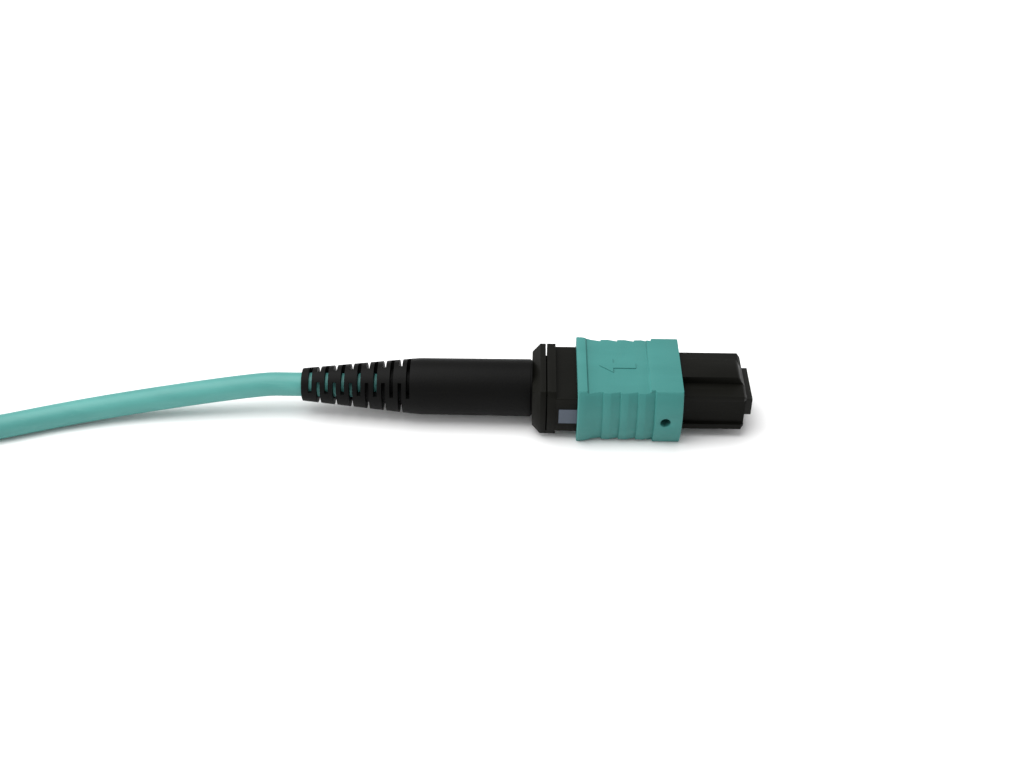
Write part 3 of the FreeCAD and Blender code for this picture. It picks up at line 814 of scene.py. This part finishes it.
@dataclass
class Assembly:
    """A sub-assembly: the loaded frame, the finishes, its body and the steps that all share."""

    frame: dict
    finishes: dict[Slot, Material]
    body: Body = Body.HOUSING

    def settle(self, piece: Piece, slot: Slot, *nodes: str, body: Body | None = None) -> None:
        """Tell the frame what a finished piece rides on and stands for.

        Args:
            piece: the finished piece.
            slot: not used.
            nodes: CAD nodes that it replaces.
            body: the body that it moves with, where that isn't the sub-assembly's own.
        """
        body = body or self.body
        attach(piece, body.value)
        if nodes:
            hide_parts(*nodes)
        stands_for = ", ".join(nodes) or "nothing"
        LOG.info("%s rides on %s, replaces %s", piece.name, body.value, stands_for)

    def merged_copy(self, node: str, name: str, slot: Slot) -> Piece:
        """Copy a CAD node and merge its loose triangles into whole faces.

        Args:
            node: the CAD node.
            name: name of the new piece.
            slot: the slot of its finish.

        Returns:
            The new piece.
        """
        piece = link_piece(name, self.frame["nodes"][node].data.copy())
        shell = bmesh.new()
        shell.from_mesh(piece.data)
        bmesh.ops.remove_doubles(shell, verts=shell.verts, dist=MERGE)
        bmesh.ops.dissolve_limit(
            shell, angle_limit=math.radians(FLAT_DEG), verts=shell.verts, edges=shell.edges
        )
        shell.to_mesh(piece.data)
        shell.free()
        dress(piece, self.finishes[slot])
        return piece

    def rounded_copy(self, node: str, name: str, slot: Slot, width: float) -> Piece:
        """Copy a CAD node, round the copy's edges and let it stand for the node.

        Args:
            node: the CAD node.
            name: name of the new piece.
            slot: the slot of its finish.
            width: radius of the rounding in metres.

        Returns:
            The new piece.
        """
        piece = self.merged_copy(node, name, slot)
        soften(piece, width)
        self.settle(piece, slot, node)
        return piece

    def grown(
        self, tree: PatternTree, name: str, slot: Slot, node: str, values: dict[str, object]
    ) -> Piece:
        """Make a piece wholly with a tree and let it stand for a CAD node.

        Args:
            tree: the tree.
            name: name of the new piece.
            slot: the slot of its finish.
            node: the CAD node.
            values: a value for each size and count of the tree.

        Returns:
            The new piece.
        """
        piece = link_piece(name, bpy.data.meshes.new(name))
        tree.grow(piece, self.finishes[slot], values)
        self.settle(piece, slot, node)
        return piece

    def coat_node(self, node: str, slot: Slot) -> None:
        """Give a CAD node that keeps its shape a better finish.

        Args:
            node: the CAD node.
            slot: the slot of its finish.
        """
        for holder in self.frame["nodes"][node].material_slots:
            holder.material = self.finishes[slot]
        LOG.info("%s keeps its shape, dressed as %s", node, self.finishes[slot].name)


# ---- Studio ----


@dataclass
class Studio:
    """Pale table, soft overhead light and the camera."""

    target: Point = (-29.73 * MM, 0.0, 0.55 * MM)
    distance: float = 170.76 * MM
    azimuth: float = 0.468
    elevation: float = 38.79
    roll: float = 0.564
    lens: float = 47.79
    sensor_width: float = 36.0
    sight: tuple[float, float] = (0.005, 20.0)
    table_z: float = -3.96 * MM
    table_half: float = 3.0
    table_colour: Colour = (0.90, 0.90, 0.90)
    table_shade: Colour = (0.885, 0.885, 0.885)
    table_mottle: float = 3.0
    table_roughness: float = 0.9
    table_specular: float = 0.1
    sky: float = 0.60
    lamps: tuple[tuple[str, Point, float, float], ...] = (
        ("overhead_softbox", (-0.15, 0.04, 0.40), 0.45, 2.5),
        ("left_softbox", (-0.44, -0.10, 0.13), 0.2, 0.8),
    )

    def place_camera(self) -> None:
        """Create the camera at its orbit angles, turned by the roll about its own axis."""
        turn, lift, lean = (math.radians(v) for v in (self.azimuth, self.elevation, self.roll))
        back = Vector((
            math.sin(turn) * math.cos(lift), -math.cos(turn) * math.cos(lift), math.sin(lift),
        ))
        right = (-back).cross(Vector((0, 0, 1))).normalized()
        up = right.cross(-back)
        side = right * math.cos(lean) + up * math.sin(lean)
        top = up * math.cos(lean) - right * math.sin(lean)
        data = bpy.data.cameras.new("product_camera")
        data.lens = self.lens
        data.sensor_width = self.sensor_width
        data.sensor_fit = "HORIZONTAL"
        data.clip_start, data.clip_end = self.sight
        camera = link_piece("product_camera", data)
        axes = Matrix((side, top, back)).transposed().to_4x4()
        camera.matrix_world = Matrix.Translation(Vector(self.target) + back * self.distance) @ axes
        bpy.context.scene.camera = camera

    def area_light(self, name: str, place: Point, size: float, power: float) -> None:
        """Add a square lamp that looks at the target.

        Args:
            name: the lamp's name.
            place: its centre.
            size: its side in metres.
            power: its power in watts.
        """
        data = bpy.data.lights.new(name, "AREA")
        data.shape = "SQUARE"
        data.size = size
        data.energy = power
        lamp = link_piece(name, data)
        lamp.location = place
        toward = Vector(self.target) - Vector(place)
        lamp.rotation_mode = "QUATERNION"
        lamp.rotation_quaternion = toward.to_track_quat("-Z", "Y")

    def build(self) -> None:
        """Build the sky, lamps and table."""
        world = bpy.data.worlds.new("soft_sky")
        world.use_nodes = True
        sky = world.node_tree.nodes["Background"]
        sky.inputs["Color"].default_value = rgba((1.0, 1.0, 1.0))
        sky.inputs["Strength"].default_value = self.sky
        bpy.context.scene.world = world
        bpy.context.scene.view_settings.view_transform = "Standard"
        for lamp in self.lamps:
            self.area_light(*lamp)
        shell = bmesh.new()
        half = self.table_half
        corners = [(-half, -half), (half, -half), (half, half), (-half, half)]
        shell.faces.new([shell.verts.new((x, y, self.table_z)) for x, y in corners])
        table = shell_piece("table_top", shell)
        dress(table, self.table_finish())
        LOG.info("studio ready, camera at %.1f degrees above the table", self.elevation)

    def table_finish(self) -> Material:
        """Build the table's pale matte finish.

        Returns:
            The finished material.
        """
        desk = MaterialDesk("pale_table")
        mottle = desk.effect(
            flow_mottle(), Scale=self.table_mottle, Colour=self.table_colour,
            Shade=self.table_shade,
        )
        return desk.finish({
            "Base Color": mottle.outputs["Colour"],
            "Roughness": self.table_roughness,
            "Specular IOR Level": self.table_specular,
        })


# ---- Cable ----


@dataclass
class CableRun(Assembly):
    """Round cable: out of the boot, down to the table, then a tied hank."""

    diameter: float = 3.0 * MM
    exit: Point = (-56.03 * MM, 0.0, 0.0)
    length: float = 0.95
    rest_z: float = -2.46 * MM
    route: tuple[Point, ...] = (
        (-0.0340, 0.0, 0.0),
        (-0.0575, 0.0, 0.0),
        (-0.0615, 0.0, 0.0),
        (-0.0820, -0.0022, -0.00246),
        (-0.0970, -0.0078, -0.00246),
    )
    inner_radius: float = 8.0 * MM
    corner_share: float = 0.966
    turn_pitch: float = 3.05 * MM
    run: float = 50.0 * MM
    middle_x: float = -137.55 * MM
    waist_radius: float = 1.6 * MM
    tie_edge: float = 0.12 * MM
    tie_lift: float = 0.5 * MM
    tie_reach: float = 9.0 * MM
    changes: tuple[tuple[float, int, int], ...] = (
        (1.00, -1, 0), (1.85, 0, 1), (2.70, 1, 0), (3.55, 0, 1), (4.40, -1, 0),
    )
    change_width: float = 0.14
    turns: float = 5.33
    points_per_turn: int = 24
    curve_order: int = 3
    curve_steps: int = 6
    round_steps: int = 8

    def lane(self, turn: float) -> tuple[float, float]:
        """Give the column and layer that the cable lies in after some turns.

        Args:
            turn: turns since the start of the hank.

        Returns:
            Column, 0 inside and 1 outside, and layer, 0 on the table, both with soft changes.
        """
        column, layer = 1.0, 0.0
        for centre, sideways, upward in self.changes:
            share = min(1.0, max(0.0, (turn - centre) / self.change_width + 0.5))
            soft = share * share * (3 - 2 * share)
            column += sideways * soft
            layer += upward * soft
        return column, layer

    def hank_point(self, turn: float) -> Point:
        """Give the control point of the cable after some turns of the hank.

        Args:
            turn: turns since the start of the hank.

        Returns:
            The point, in metres. The straight legs draw in to the waist under the tie, and the
            round ends stand out a little, because the curve cuts inside its control points.
        """
        column, layer = self.lane(turn)
        radius = self.inner_radius + column * self.turn_pitch
        waist = self.waist_radius + column * self.turn_pitch
        quarter = (turn % 1.0) * 4
        leg, share = int(quarter), quarter % 1.0
        side, lift = (-1 if leg < 2 else 1), 0.0
        if leg % 2 == 0:
            x = side * (share - 0.5) * self.run
            bow = math.sin(math.pi * x / self.run) ** 2
            y = side * (waist + (radius - waist) * bow)
            lift = self.tie_lift * max(0.0, 1 - (x / self.tie_reach) ** 2)
        else:
            angle = math.pi * share
            corner = 1.0 + (1 / self.corner_share - 1) * math.sin(angle)
            x = side * (self.run / 2 + radius * corner * math.sin(angle))
            y = side * radius * math.cos(angle)
        return (self.middle_x + x, y, self.rest_z + layer * self.turn_pitch + lift)

    def centreline(self) -> list[Point]:
        """Give the control points of the whole cable."""
        steps = range(int(self.turns * self.points_per_turn) + 1)
        return [*self.route, *(self.hank_point(step / self.points_per_turn) for step in steps)]

    def build(self) -> None:
        data = bpy.data.curves.new("cable", "CURVE")
        data.dimensions = "3D"
        data.resolution_u = self.curve_steps
        data.bevel_depth = self.diameter / 2
        data.bevel_resolution = self.round_steps
        data.use_fill_caps = True
        spline = data.splines.new("NURBS")
        points = self.centreline()
        spline.points.add(len(points) - 1)
        for point, place in zip(spline.points, points):
            point.co = (*place, 1.0)
        spline.order_u = self.curve_order
        spline.use_endpoint_u = True
        data.materials.append(self.finishes[Slot.CABLE_JACKET])
        cable = link_piece("cable", data)
        self.settle(cable, Slot.CABLE_JACKET, "cable_lead", "cable_hank")
        band = self.rounded_copy("cable_tie", "hank_tie", Slot.TIE_BAND, self.tie_edge)


# ---- Strain-relief boot ----


@dataclass(frozen=True)
class WindowRow:
    """One row of paired flex windows, blind or cut through to the cable."""

    first_x: float
    count: int
    centre_deg: float
    half_deg: float
    floor: float


@dataclass
class StrainBoot(Assembly):
    """Rubber boot: smooth barrel, tapered tail with two interleaved rows of windows."""

    front_x: float = -27.36 * MM
    shoulder_x: float = -41.5 * MM
    tail_x: float = -56.03 * MM
    front_radius: float = 3.6 * MM
    shoulder_radius: float = 3.54 * MM
    shoulder_blend: float = 0.8 * MM
    tail_radius: float = 2.07 * MM
    edge: float = 0.1 * MM
    bore: float = 1.6 * MM
    front_bore: float = 2.945 * MM
    lip_length: float = 0.12 * MM
    lip_radius: float = 3.5 * MM
    lip_bore: float = 3.33 * MM
    step_x: float = -37.15 * MM
    sides: int = 120
    arc_steps: int = 4
    blend_steps: int = 6
    window_width: float = 0.46 * MM
    window_pitch: float = 2.05 * MM
    window_steps: int = 24
    window_edge: float = 0.05 * MM
    crease: float = 35.0
    rows: tuple[WindowRow, ...] = (
        WindowRow(-42.6 * MM, 2, 64.5, 53.5, 2.1 * MM),
        WindowRow(-46.7 * MM, 5, 64.5, 53.5, 1.57 * MM),
        WindowRow(-43.625 * MM, 3, 155.0, 68.0, 2.1 * MM),
        WindowRow(-49.775 * MM, 3, 155.0, 68.0, 1.57 * MM),
    )

    def window_tree(self) -> PatternTree:
        """Build the tree that cuts one row of paired windows from a mesh.

        Returns:
            The tree, with inputs for the row's place, count and angles.
        """
        tree = PatternTree(
            "flex_windows", ("First X", "Pitch", "Width", "Floor", "Reach", "Start", "Sweep"),
            ("Count",),
        )
        floor, reach = tree["Floor"], tree["Reach"]
        arc = tree.node("CurveArc", {
            "Resolution": self.window_steps,
            "Radius": tree.math("MULTIPLY", tree.math("ADD", floor, reach), 0.5),
            "Start Angle": tree["Start"],
            "Sweep Angle": tree["Sweep"],
        }, mode="RADIUS")
        path = tree.node("SetCurveNormal", {"Curve": arc.outputs["Curve"]}, mode="Z_UP")
        section = tree.node("CurvePrimitiveQuadrilateral", {
            "Width": tree.math("SUBTRACT", reach, floor), "Height": tree["Width"],
        }, mode="RECTANGLE")
        sector = tree.swept(path.outputs["Curve"], section.outputs["Curve"])
        upended = tree.moved(sector, Rotation=LAID_ALONG_X)
        pair = tree.node("JoinGeometry")
        for turn in (0.0, math.pi):
            tree.feed(pair.inputs["Geometry"], tree.moved(upended, Rotation=(turn, 0.0, 0.0)))
        step = tree.vector(tree.math("MULTIPLY", tree["Pitch"], -1.0))
        cutters = tree.row(pair.outputs["Geometry"], tree.vector(tree["First X"]), step)
        cut = tree.node("MeshBoolean", {
            "Mesh 1": tree["Geometry"], "Mesh 2": tree.realized(cutters),
        }, operation="DIFFERENCE", solver="EXACT")
        return tree.finish(cut.outputs["Mesh"])

    def profile(self) -> Outline:
        """Give the closed half section, from the front bore round the outside.

        Returns:
            Corners as (x, radius), in metres.
        """
        lip_x = self.front_x + self.lip_length
        points = [
            (self.front_x, self.front_bore), (self.front_x, self.lip_bore), (lip_x, self.lip_bore),
            (lip_x, self.lip_radius), (self.front_x, self.lip_radius),
        ]
        angles = [math.pi / 2 * step / self.arc_steps for step in range(self.arc_steps + 1)]
        for angle in angles[1:]:
            points.append((
                self.front_x - self.edge * (1 - math.cos(angle)),
                self.front_radius - self.edge * (1 - math.sin(angle)),
            ))
        blend, middle = self.shoulder_blend, self.shoulder_radius
        barrel_slope = (self.front_radius - middle) / (self.front_x - self.shoulder_x)
        tail_slope = (middle - self.tail_radius) / (self.shoulder_x - self.tail_x)
        xs = (self.shoulder_x + blend, self.shoulder_x, self.shoulder_x - blend)
        rs = (middle + barrel_slope * blend, middle, middle - tail_slope * blend)
        for step in range(self.blend_steps + 1):
            share = step / self.blend_steps
            swell = (1 - share) ** 2, 2 * share * (1 - share), share ** 2
            points.append(tuple(sum(w * v for w, v in zip(swell, ends)) for ends in (xs, rs)))
        for angle in angles:
            points.append((
                self.tail_x + self.edge * (1 - math.sin(angle)),
                self.tail_radius - self.edge * (1 - math.cos(angle)),
            ))
        inside = ((self.tail_x, self.bore), (self.step_x, self.bore))
        return [*points, *inside, (self.step_x, self.front_bore)]

    def build(self) -> None:
        """Turn the boot and cut its windows."""
        boot = lathed("strain_boot", self.profile(), self.sides)
        tree = self.window_tree()
        for row in self.rows:
            tree.grow(boot, self.finishes[Slot.BLACK_RUBBER], {
                "First X": row.first_x,
                "Pitch": self.window_pitch,
                "Count": row.count,
                "Width": self.window_width,
                "Floor": row.floor,
                "Reach": 2 * self.front_radius,
                "Start": math.radians(270.0 - row.centre_deg - row.half_deg),
                "Sweep": math.radians(2 * row.half_deg),
            })
        soften(boot, self.window_edge, self.crease)
        self.settle(boot, Slot.BLACK_RUBBER, "cable_boot")


# ---- Shells, sleeve, ferrule and springs ----


@dataclass
class HousingShells(Assembly):
    """Inner housing, rear body and the printed mark."""

    housing_edge: float = 0.035 * MM
    rear_edge: float = 0.03 * MM
    key_half: float = 1.85 * MM
    key_foot: tuple[float, float] = (-0.92 * MM, 2.94 * MM)
    key_foot_set: tuple[float, float] = (-1.34 * MM, 2.80 * MM)
    key_crest: tuple[float, float] = (-1.55 * MM, 3.57 * MM)
    key_crest_set: tuple[float, float] = (-1.66 * MM, 3.57 * MM)
    key_rounding: float = 0.3 * MM
    key_steps: int = 4
    rear_x: float = -25.30 * MM
    rear_set: float = 0.06 * MM

    def shape(self, mesh: bpy.types.Mesh) -> None:
        """Set the key's front end back and round it, and close the housing's rear gap a little.

        Args:
            mesh: the housing's own mesh.
        """
        shell = bmesh.new()
        shell.from_mesh(mesh)
        moved = set()
        for vertex in shell.verts:
            x, y, z = vertex.co
            if abs(x - self.rear_x) < NEAR:
                vertex.co.x -= self.rear_set
            for before, after in (
                (self.key_foot, self.key_foot_set), (self.key_crest, self.key_crest_set),
            ):
                if math.dist((x, abs(y), z), (before[0], self.key_half, before[1])) < NEAR:
                    vertex.co.x, vertex.co.z = after
                    moved.add(vertex)
        high = self.key_foot_set[1] + NEAR
        edges = [
            edge for edge in shell.edges
            if moved.issuperset(edge.verts) and any(end.co.z > high for end in edge.verts)
        ]
        bmesh.ops.bevel(
            shell, geom=edges, offset=self.key_rounding, segments=self.key_steps, profile=0.5,
            affect="EDGES",
        )
        shell.to_mesh(mesh)
        shell.free()

    def build(self) -> None:
        """Build the two black shells and dress the mark."""
        nose = self.merged_copy("inner_housing", "housing_shell", Slot.BLACK_PLASTIC)
        self.shape(nose.data)
        soften(nose, self.housing_edge)
        self.settle(nose, Slot.BLACK_PLASTIC, "inner_housing")
        self.rounded_copy("rear_body", "rear_shell", Slot.BLACK_PLASTIC, self.rear_edge)
        # The mark's finish carries painted shade from the side channel in place of its white print
        # colour.
        self.coat_node("position_mark", Slot.MARK_PRINT)


@dataclass
class PullSleeve(Assembly):
    """Aqua sleeve with its carved grip sides and the arrows in its sunk panels."""

    body: Body = Body.SLEEVE
    edge: float = 0.05 * MM
    crease: float = 11.0
    side_y: float = 4.9 * MM
    ramp: Outline = (
        (-21.55 * MM, 0.0), (-20.92 * MM, -0.05 * MM), (-20.67 * MM, 0.04 * MM),
        (-19.80 * MM, -0.21 * MM), (-19.45 * MM, 0.063 * MM),
    )
    first_foot_x: float = -18.62 * MM
    grip_pitch: float = 2.12 * MM
    grip_count: int = 4
    wall_length: float = 0.07 * MM
    ridge_length: float = 0.87 * MM
    flank_length: float = 0.35 * MM
    flank_rise: float = 0.098 * MM
    foot_depth: float = 0.12 * MM
    crest_rise: float = 0.04 * MM
    arrow_tip_x: float = -18.9 * MM
    arrow_end_x: float = -14.4 * MM
    arrow_head: float = 1.7 * MM
    arrow_half: float = 1.35 * MM
    arrow_edge: float = 0.03 * MM
    arrow_root: float = 0.02 * MM
    shaft_half: float = 0.5 * MM
    panel_z: float = 3.66 * MM
    panel_ends: Outline = ((-20.52 * MM, 0.2 * MM), (-12.77 * MM, -0.2 * MM))
    relief: float = 0.12 * MM

    def arrow(self, side: int) -> None:
        """Build one low arrow that shows the way to pull.

        Args:
            side: 1 on top, -1 below.
        """
        neck_x = self.arrow_tip_x + self.arrow_head
        left = [
            (self.arrow_tip_x, 0.0), (neck_x, -self.arrow_half), (neck_x, -self.shaft_half),
            (self.arrow_end_x, -self.shaft_half),
        ]
        outline = left + [(x, -y) for x, y in left[:0:-1]]
        root, face = self.panel_z - self.arrow_root, self.panel_z + self.relief
        low, high = sorted((side * root, side * face))
        mark = extruded(f"pull_arrow_{'top' if side > 0 else 'bottom'}", outline, low, high)
        dress(mark, self.finishes[Slot.AQUA_PLASTIC])
        soften(mark, self.arrow_edge)
        self.settle(mark, Slot.AQUA_PLASTIC)

    def carving(self) -> Outline:
        """Give how far the grip sides are carved out or in along X.

        Returns:
            Pairs of place and shift, from the rear forwards: the rim runs out in one ramp and the
            floor of each groove falls towards the wall in front of it.
        """
        shifts = list(self.ramp)
        for index in range(self.grip_count):
            foot = self.first_foot_x + index * self.grip_pitch
            wall = foot + self.wall_length
            shifts += [(foot, -self.foot_depth), (wall, 0.0)]
            if index < self.grip_count - 1:
                rear = wall + self.ridge_length
                shifts += [(rear, self.crest_rise), (rear + self.flank_length, self.flank_rise)]
        return shifts

    def carve(self, mesh: bpy.types.Mesh) -> None:
        """Carve the grip sides of the sleeve's mesh and lean the end walls of its panels.

        Args:
            mesh: the sleeve's own mesh.
        """
        shifts = self.carving()
        for vertex in mesh.vertices:
            x, y, z = vertex.co
            for end, lean in self.panel_ends:
                if abs(x - end) < NEAR and abs(abs(z) - self.panel_z) < NEAR:
                    vertex.co.x += lean
            if abs(y) < self.side_y or not shifts[0][0] < x < shifts[-1][0]:
                continue
            for (rear, before), (front, beyond) in zip(shifts, shifts[1:]):
                if rear <= x <= front:
                    shift = before + (beyond - before) * (x - rear) / (front - rear)
                    vertex.co.y += shift * math.copysign(1.0, y)
                    break

    def build(self) -> None:
        """Build the sleeve and its arrows."""
        sleeve = self.merged_copy("pull_sleeve", "sleeve_shell", Slot.AQUA_PLASTIC)
        self.carve(sleeve.data)
        soften(sleeve, self.edge, self.crease)
        self.settle(sleeve, Slot.AQUA_PLASTIC, "pull_sleeve")
        for side in (1, -1):
            self.arrow(side)


@dataclass
class FerruleSet(Assembly):
    """Ferrule with its row of fibres and the soft parts behind it."""

    body: Body = Body.FERRULE
    edge: float = 0.03 * MM
    fibre_count: int = 12
    fibre_sides: int = 24
    fibre_pitch: float = 0.25 * MM
    fibre_radius: float = 0.0625 * MM
    fibre_length: float = 5.8 * MM
    crown: float = 0.004 * MM
    ribbon_front: float = -6.2 * MM
    ribbon_fixed: float = -34.0 * MM
    travel: float = 1.0 * MM

    def fibre_tree(self) -> PatternTree:
        """Build the tree that lays out the fibre ends.

        Returns:
            The tree, with inputs for count, pitch, radius, length and crown.
        """
        tree = PatternTree("fibre_row", ("Pitch", "Radius", "Length", "Crown"), ("Count",))
        pitch = tree["Pitch"]
        centre = tree.math("ADD", tree.math("MULTIPLY", tree["Length"], -0.5), tree["Crown"])
        fibre = tree.rod(self.fibre_sides, "TRIANGLE_FAN", Translation=tree.vector(centre))
        gaps = tree.math("SUBTRACT", tree["Count"], 1.0)
        start = tree.math("MULTIPLY", tree.math("MULTIPLY", gaps, pitch), -0.5)
        return tree.finish(tree.row(fibre, tree.vector(0.0, start), tree.vector(0.0, pitch)))

    def build(self) -> None:
        """Build the ferrule and its fibres, and dress what lies behind."""
        self.rounded_copy("mt_ferrule", "ferrule_body", Slot.FERRULE_RESIN, self.edge)
        self.grown(self.fibre_tree(), "fibre_ends", Slot.FIBRE_GLASS, "fibre_array", {
            "Count": self.fibre_count,
            "Pitch": self.fibre_pitch,
            "Radius": self.fibre_radius,
            "Length": self.fibre_length,
            "Crown": self.crown,
        })
        self.coat_node("epoxy_fill", Slot.EPOXY)
        self.coat_node("rubber_boot", Slot.BLACK_RUBBER)
        self.coat_node("spring_spacer", Slot.BLACK_PLASTIC)
        ribbon = self.merged_copy("fibre_ribbon", "ribbon_bundle", Slot.RIBBON)
        self.settle(ribbon, Slot.RIBBON, "fibre_ribbon", body=Body.HOUSING)
        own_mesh(ribbon)


@dataclass(frozen=True)
class CoilSize:
    """Sizes of one compression spring along X, those of a sleeve spring if not said otherwise."""

    name: str
    node: str
    centre_y: float
    rear_x: float = -18.58 * MM
    front_x: float = -11.52 * MM
    radius_y: float = 0.5 * MM
    radius_z: float = 0.5 * MM
    wire: float = 0.2 * MM
    turns: int = 8
    joint: str = "sleeve_slide"
    travel: float = 2.5 * MM


@dataclass
class SpringSet(Assembly):
    """The two sleeve springs and the oval main spring."""

    coils: tuple[CoilSize, ...] = (
        CoilSize("left_sleeve_spring", "sleeve_spring_left", 4.99 * MM),
        CoilSize("right_sleeve_spring", "sleeve_spring_right", -4.99 * MM),
        CoilSize(
            "oval_main_spring", "main_spring", 0.0, rear_x=-17.43 * MM, front_x=-10.02 * MM,
            radius_y=3.175 * MM, radius_z=1.225 * MM, wire=0.45 * MM, turns=6,
            joint="ferrule_slide", travel=1.0 * MM,
        ),
    )
    steps_per_turn: int = 28
    wire_sides: int = 12
    closed_pitch: float = 1.1

    def coil_tree(self) -> PatternTree:
        """Build the tree that winds a spring with one closed turn at each end.

        Returns:
            The tree, with inputs for the spring's sizes.
        """
        tree = PatternTree(
            "wound_spring",
            ("Rear X", "Front X", "Centre Y", "Radius Y", "Radius Z", "Wire", "Turns"), ("Steps",),
        )
        rear, wire, turns = tree["Rear X"], tree["Wire"], tree["Turns"]
        half_wire = tree.math("MULTIPLY", wire, 0.5)
        line = tree.node("CurvePrimitiveLine").outputs["Curve"]
        drawn = tree.node("ResampleCurve", {"Curve": line, "Count": tree["Steps"]}, mode="COUNT")
        along = tree.node("SplineParameter").outputs["Factor"]
        turn = tree.math("MULTIPLY", along, turns)
        closed = tree.math("MULTIPLY", wire, self.closed_pitch)
        straight = tree.math("SUBTRACT", tree.math("SUBTRACT", tree["Front X"], rear), wire)
        span = tree.math("SUBTRACT", straight, tree.math("MULTIPLY", closed, 2.0))
        pitch = tree.math("DIVIDE", span, tree.math("SUBTRACT", turns, 2.0))
        first = tree.math("MINIMUM", turn, 1.0)
        last_start = tree.math("SUBTRACT", turns, 1.0)
        last = tree.math("MAXIMUM", tree.math("SUBTRACT", turn, last_start), 0.0)
        open_turns = tree.math("SUBTRACT", tree.math("SUBTRACT", turn, first), last)
        ends = tree.math("MULTIPLY", tree.math("ADD", first, last), closed)
        middle = tree.math("MULTIPLY", open_turns, pitch)
        offset = tree.math("ADD", rear, half_wire)
        x = tree.math("ADD", offset, tree.math("ADD", ends, middle))
        angle = tree.math("MULTIPLY", turn, 2 * math.pi)
        swing = tree.math("MULTIPLY", tree["Radius Y"], tree.math("COSINE", angle))
        y = tree.math("ADD", tree["Centre Y"], swing)
        z = tree.math("MULTIPLY", tree["Radius Z"], tree.math("SINE", angle))
        inputs = {"Geometry": drawn.outputs["Curve"], "Position": tree.vector(x, y, z)}
        wound = tree.node("SetPosition", inputs).outputs["Geometry"]
        inputs = {"Resolution": self.wire_sides, "Radius": half_wire}
        section = tree.node("CurvePrimitiveCircle", inputs, mode="RADIUS").outputs["Curve"]
        return tree.finish(tree.swept(wound, section))

    def build(self) -> None:
        """Wind the springs."""
        tree = self.coil_tree()
        for size in self.coils:
            coil = self.grown(tree, size.name, Slot.SPRING_STEEL, size.node, {
                "Rear X": size.rear_x,
                "Front X": size.front_x,
                "Centre Y": size.centre_y,
                "Radius Y": size.radius_y,
                "Radius Z": size.radius_z,
                "Wire": size.wire,
                "Turns": float(size.turns),
                "Steps": self.steps_per_turn * size.turns + 1,
            })
            coil.data.shade_smooth()
            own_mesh(coil)


@dataclass
class CrimpSet(Assembly):
    """Crimp ring and the strength yarn under it."""

    strand_count: int = 90
    strand_sides: int = 6
    strand_radius: float = 0.06 * MM
    shortest: float = 0.85
    seed: int = 7
    lay_radius: float = 2.53 * MM
    rear_x: float = -33.45 * MM
    length: float = 5.2 * MM
    ring_edge: float = 0.04 * MM

    def strand_tree(self) -> PatternTree:
        """Build the tree that lays strands round the stem.

        Returns:
            The tree, with inputs for the strands' count, sizes and place.
        """
        tree = PatternTree("yarn_strands", ("Lay Radius", "Radius", "Rear X", "Length"), ("Count",))
        inputs = {"Vertices": tree["Count"], "Radius": tree["Lay Radius"]}
        ring = tree.node("MeshCircle", inputs).outputs["Mesh"]
        middle = tree.math("ADD", tree["Rear X"], tree.math("MULTIPLY", tree["Length"], 0.5))
        stood = tree.moved(ring, Rotation=LAID_ALONG_X, Translation=tree.vector(middle))
        inputs = {"Min": self.shortest, "Max": 1.0, "Seed": self.seed}
        slack = tree.node("FunctionNodeRandomValue", inputs, data_type="FLOAT").outputs["Value"]
        copies = tree.node("InstanceOnPoints", {
            "Points": stood,
            "Instance": tree.rod(self.strand_sides, "NGON"),
            "Scale": tree.vector(slack, 1.0, 1.0),
        })
        return tree.finish(copies.outputs["Instances"])

    def build(self) -> None:
        """Build the ring and the strands."""
        self.rounded_copy("crimp_ring", "crimp_sleeve", Slot.CRIMP_METAL, self.ring_edge)
        self.grown(self.strand_tree(), "yarn_strands", Slot.YARN, "aramid_yarn", {
            "Count": self.strand_count,
            "Lay Radius": self.lay_radius,
            "Radius": self.strand_radius,
            "Rear X": self.rear_x,
            "Length": self.length,
        })


def main() -> None:
    """Build the whole scene."""
    logging.basicConfig(level=logging.INFO, format="%(name)s: %(message)s")
    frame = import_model()
    finishes = {slot: finish.make() for slot, finish in FINISHES.items()}
    studio = Studio()
    studio.place_camera()
    CableRun(frame, finishes).build()
    studio.build()
    for kind in (StrainBoot, HousingShells, PullSleeve, FerruleSet, SpringSet, CrimpSet):
        kind(frame, finishes).build()


if __name__ == "__main__":
    main()
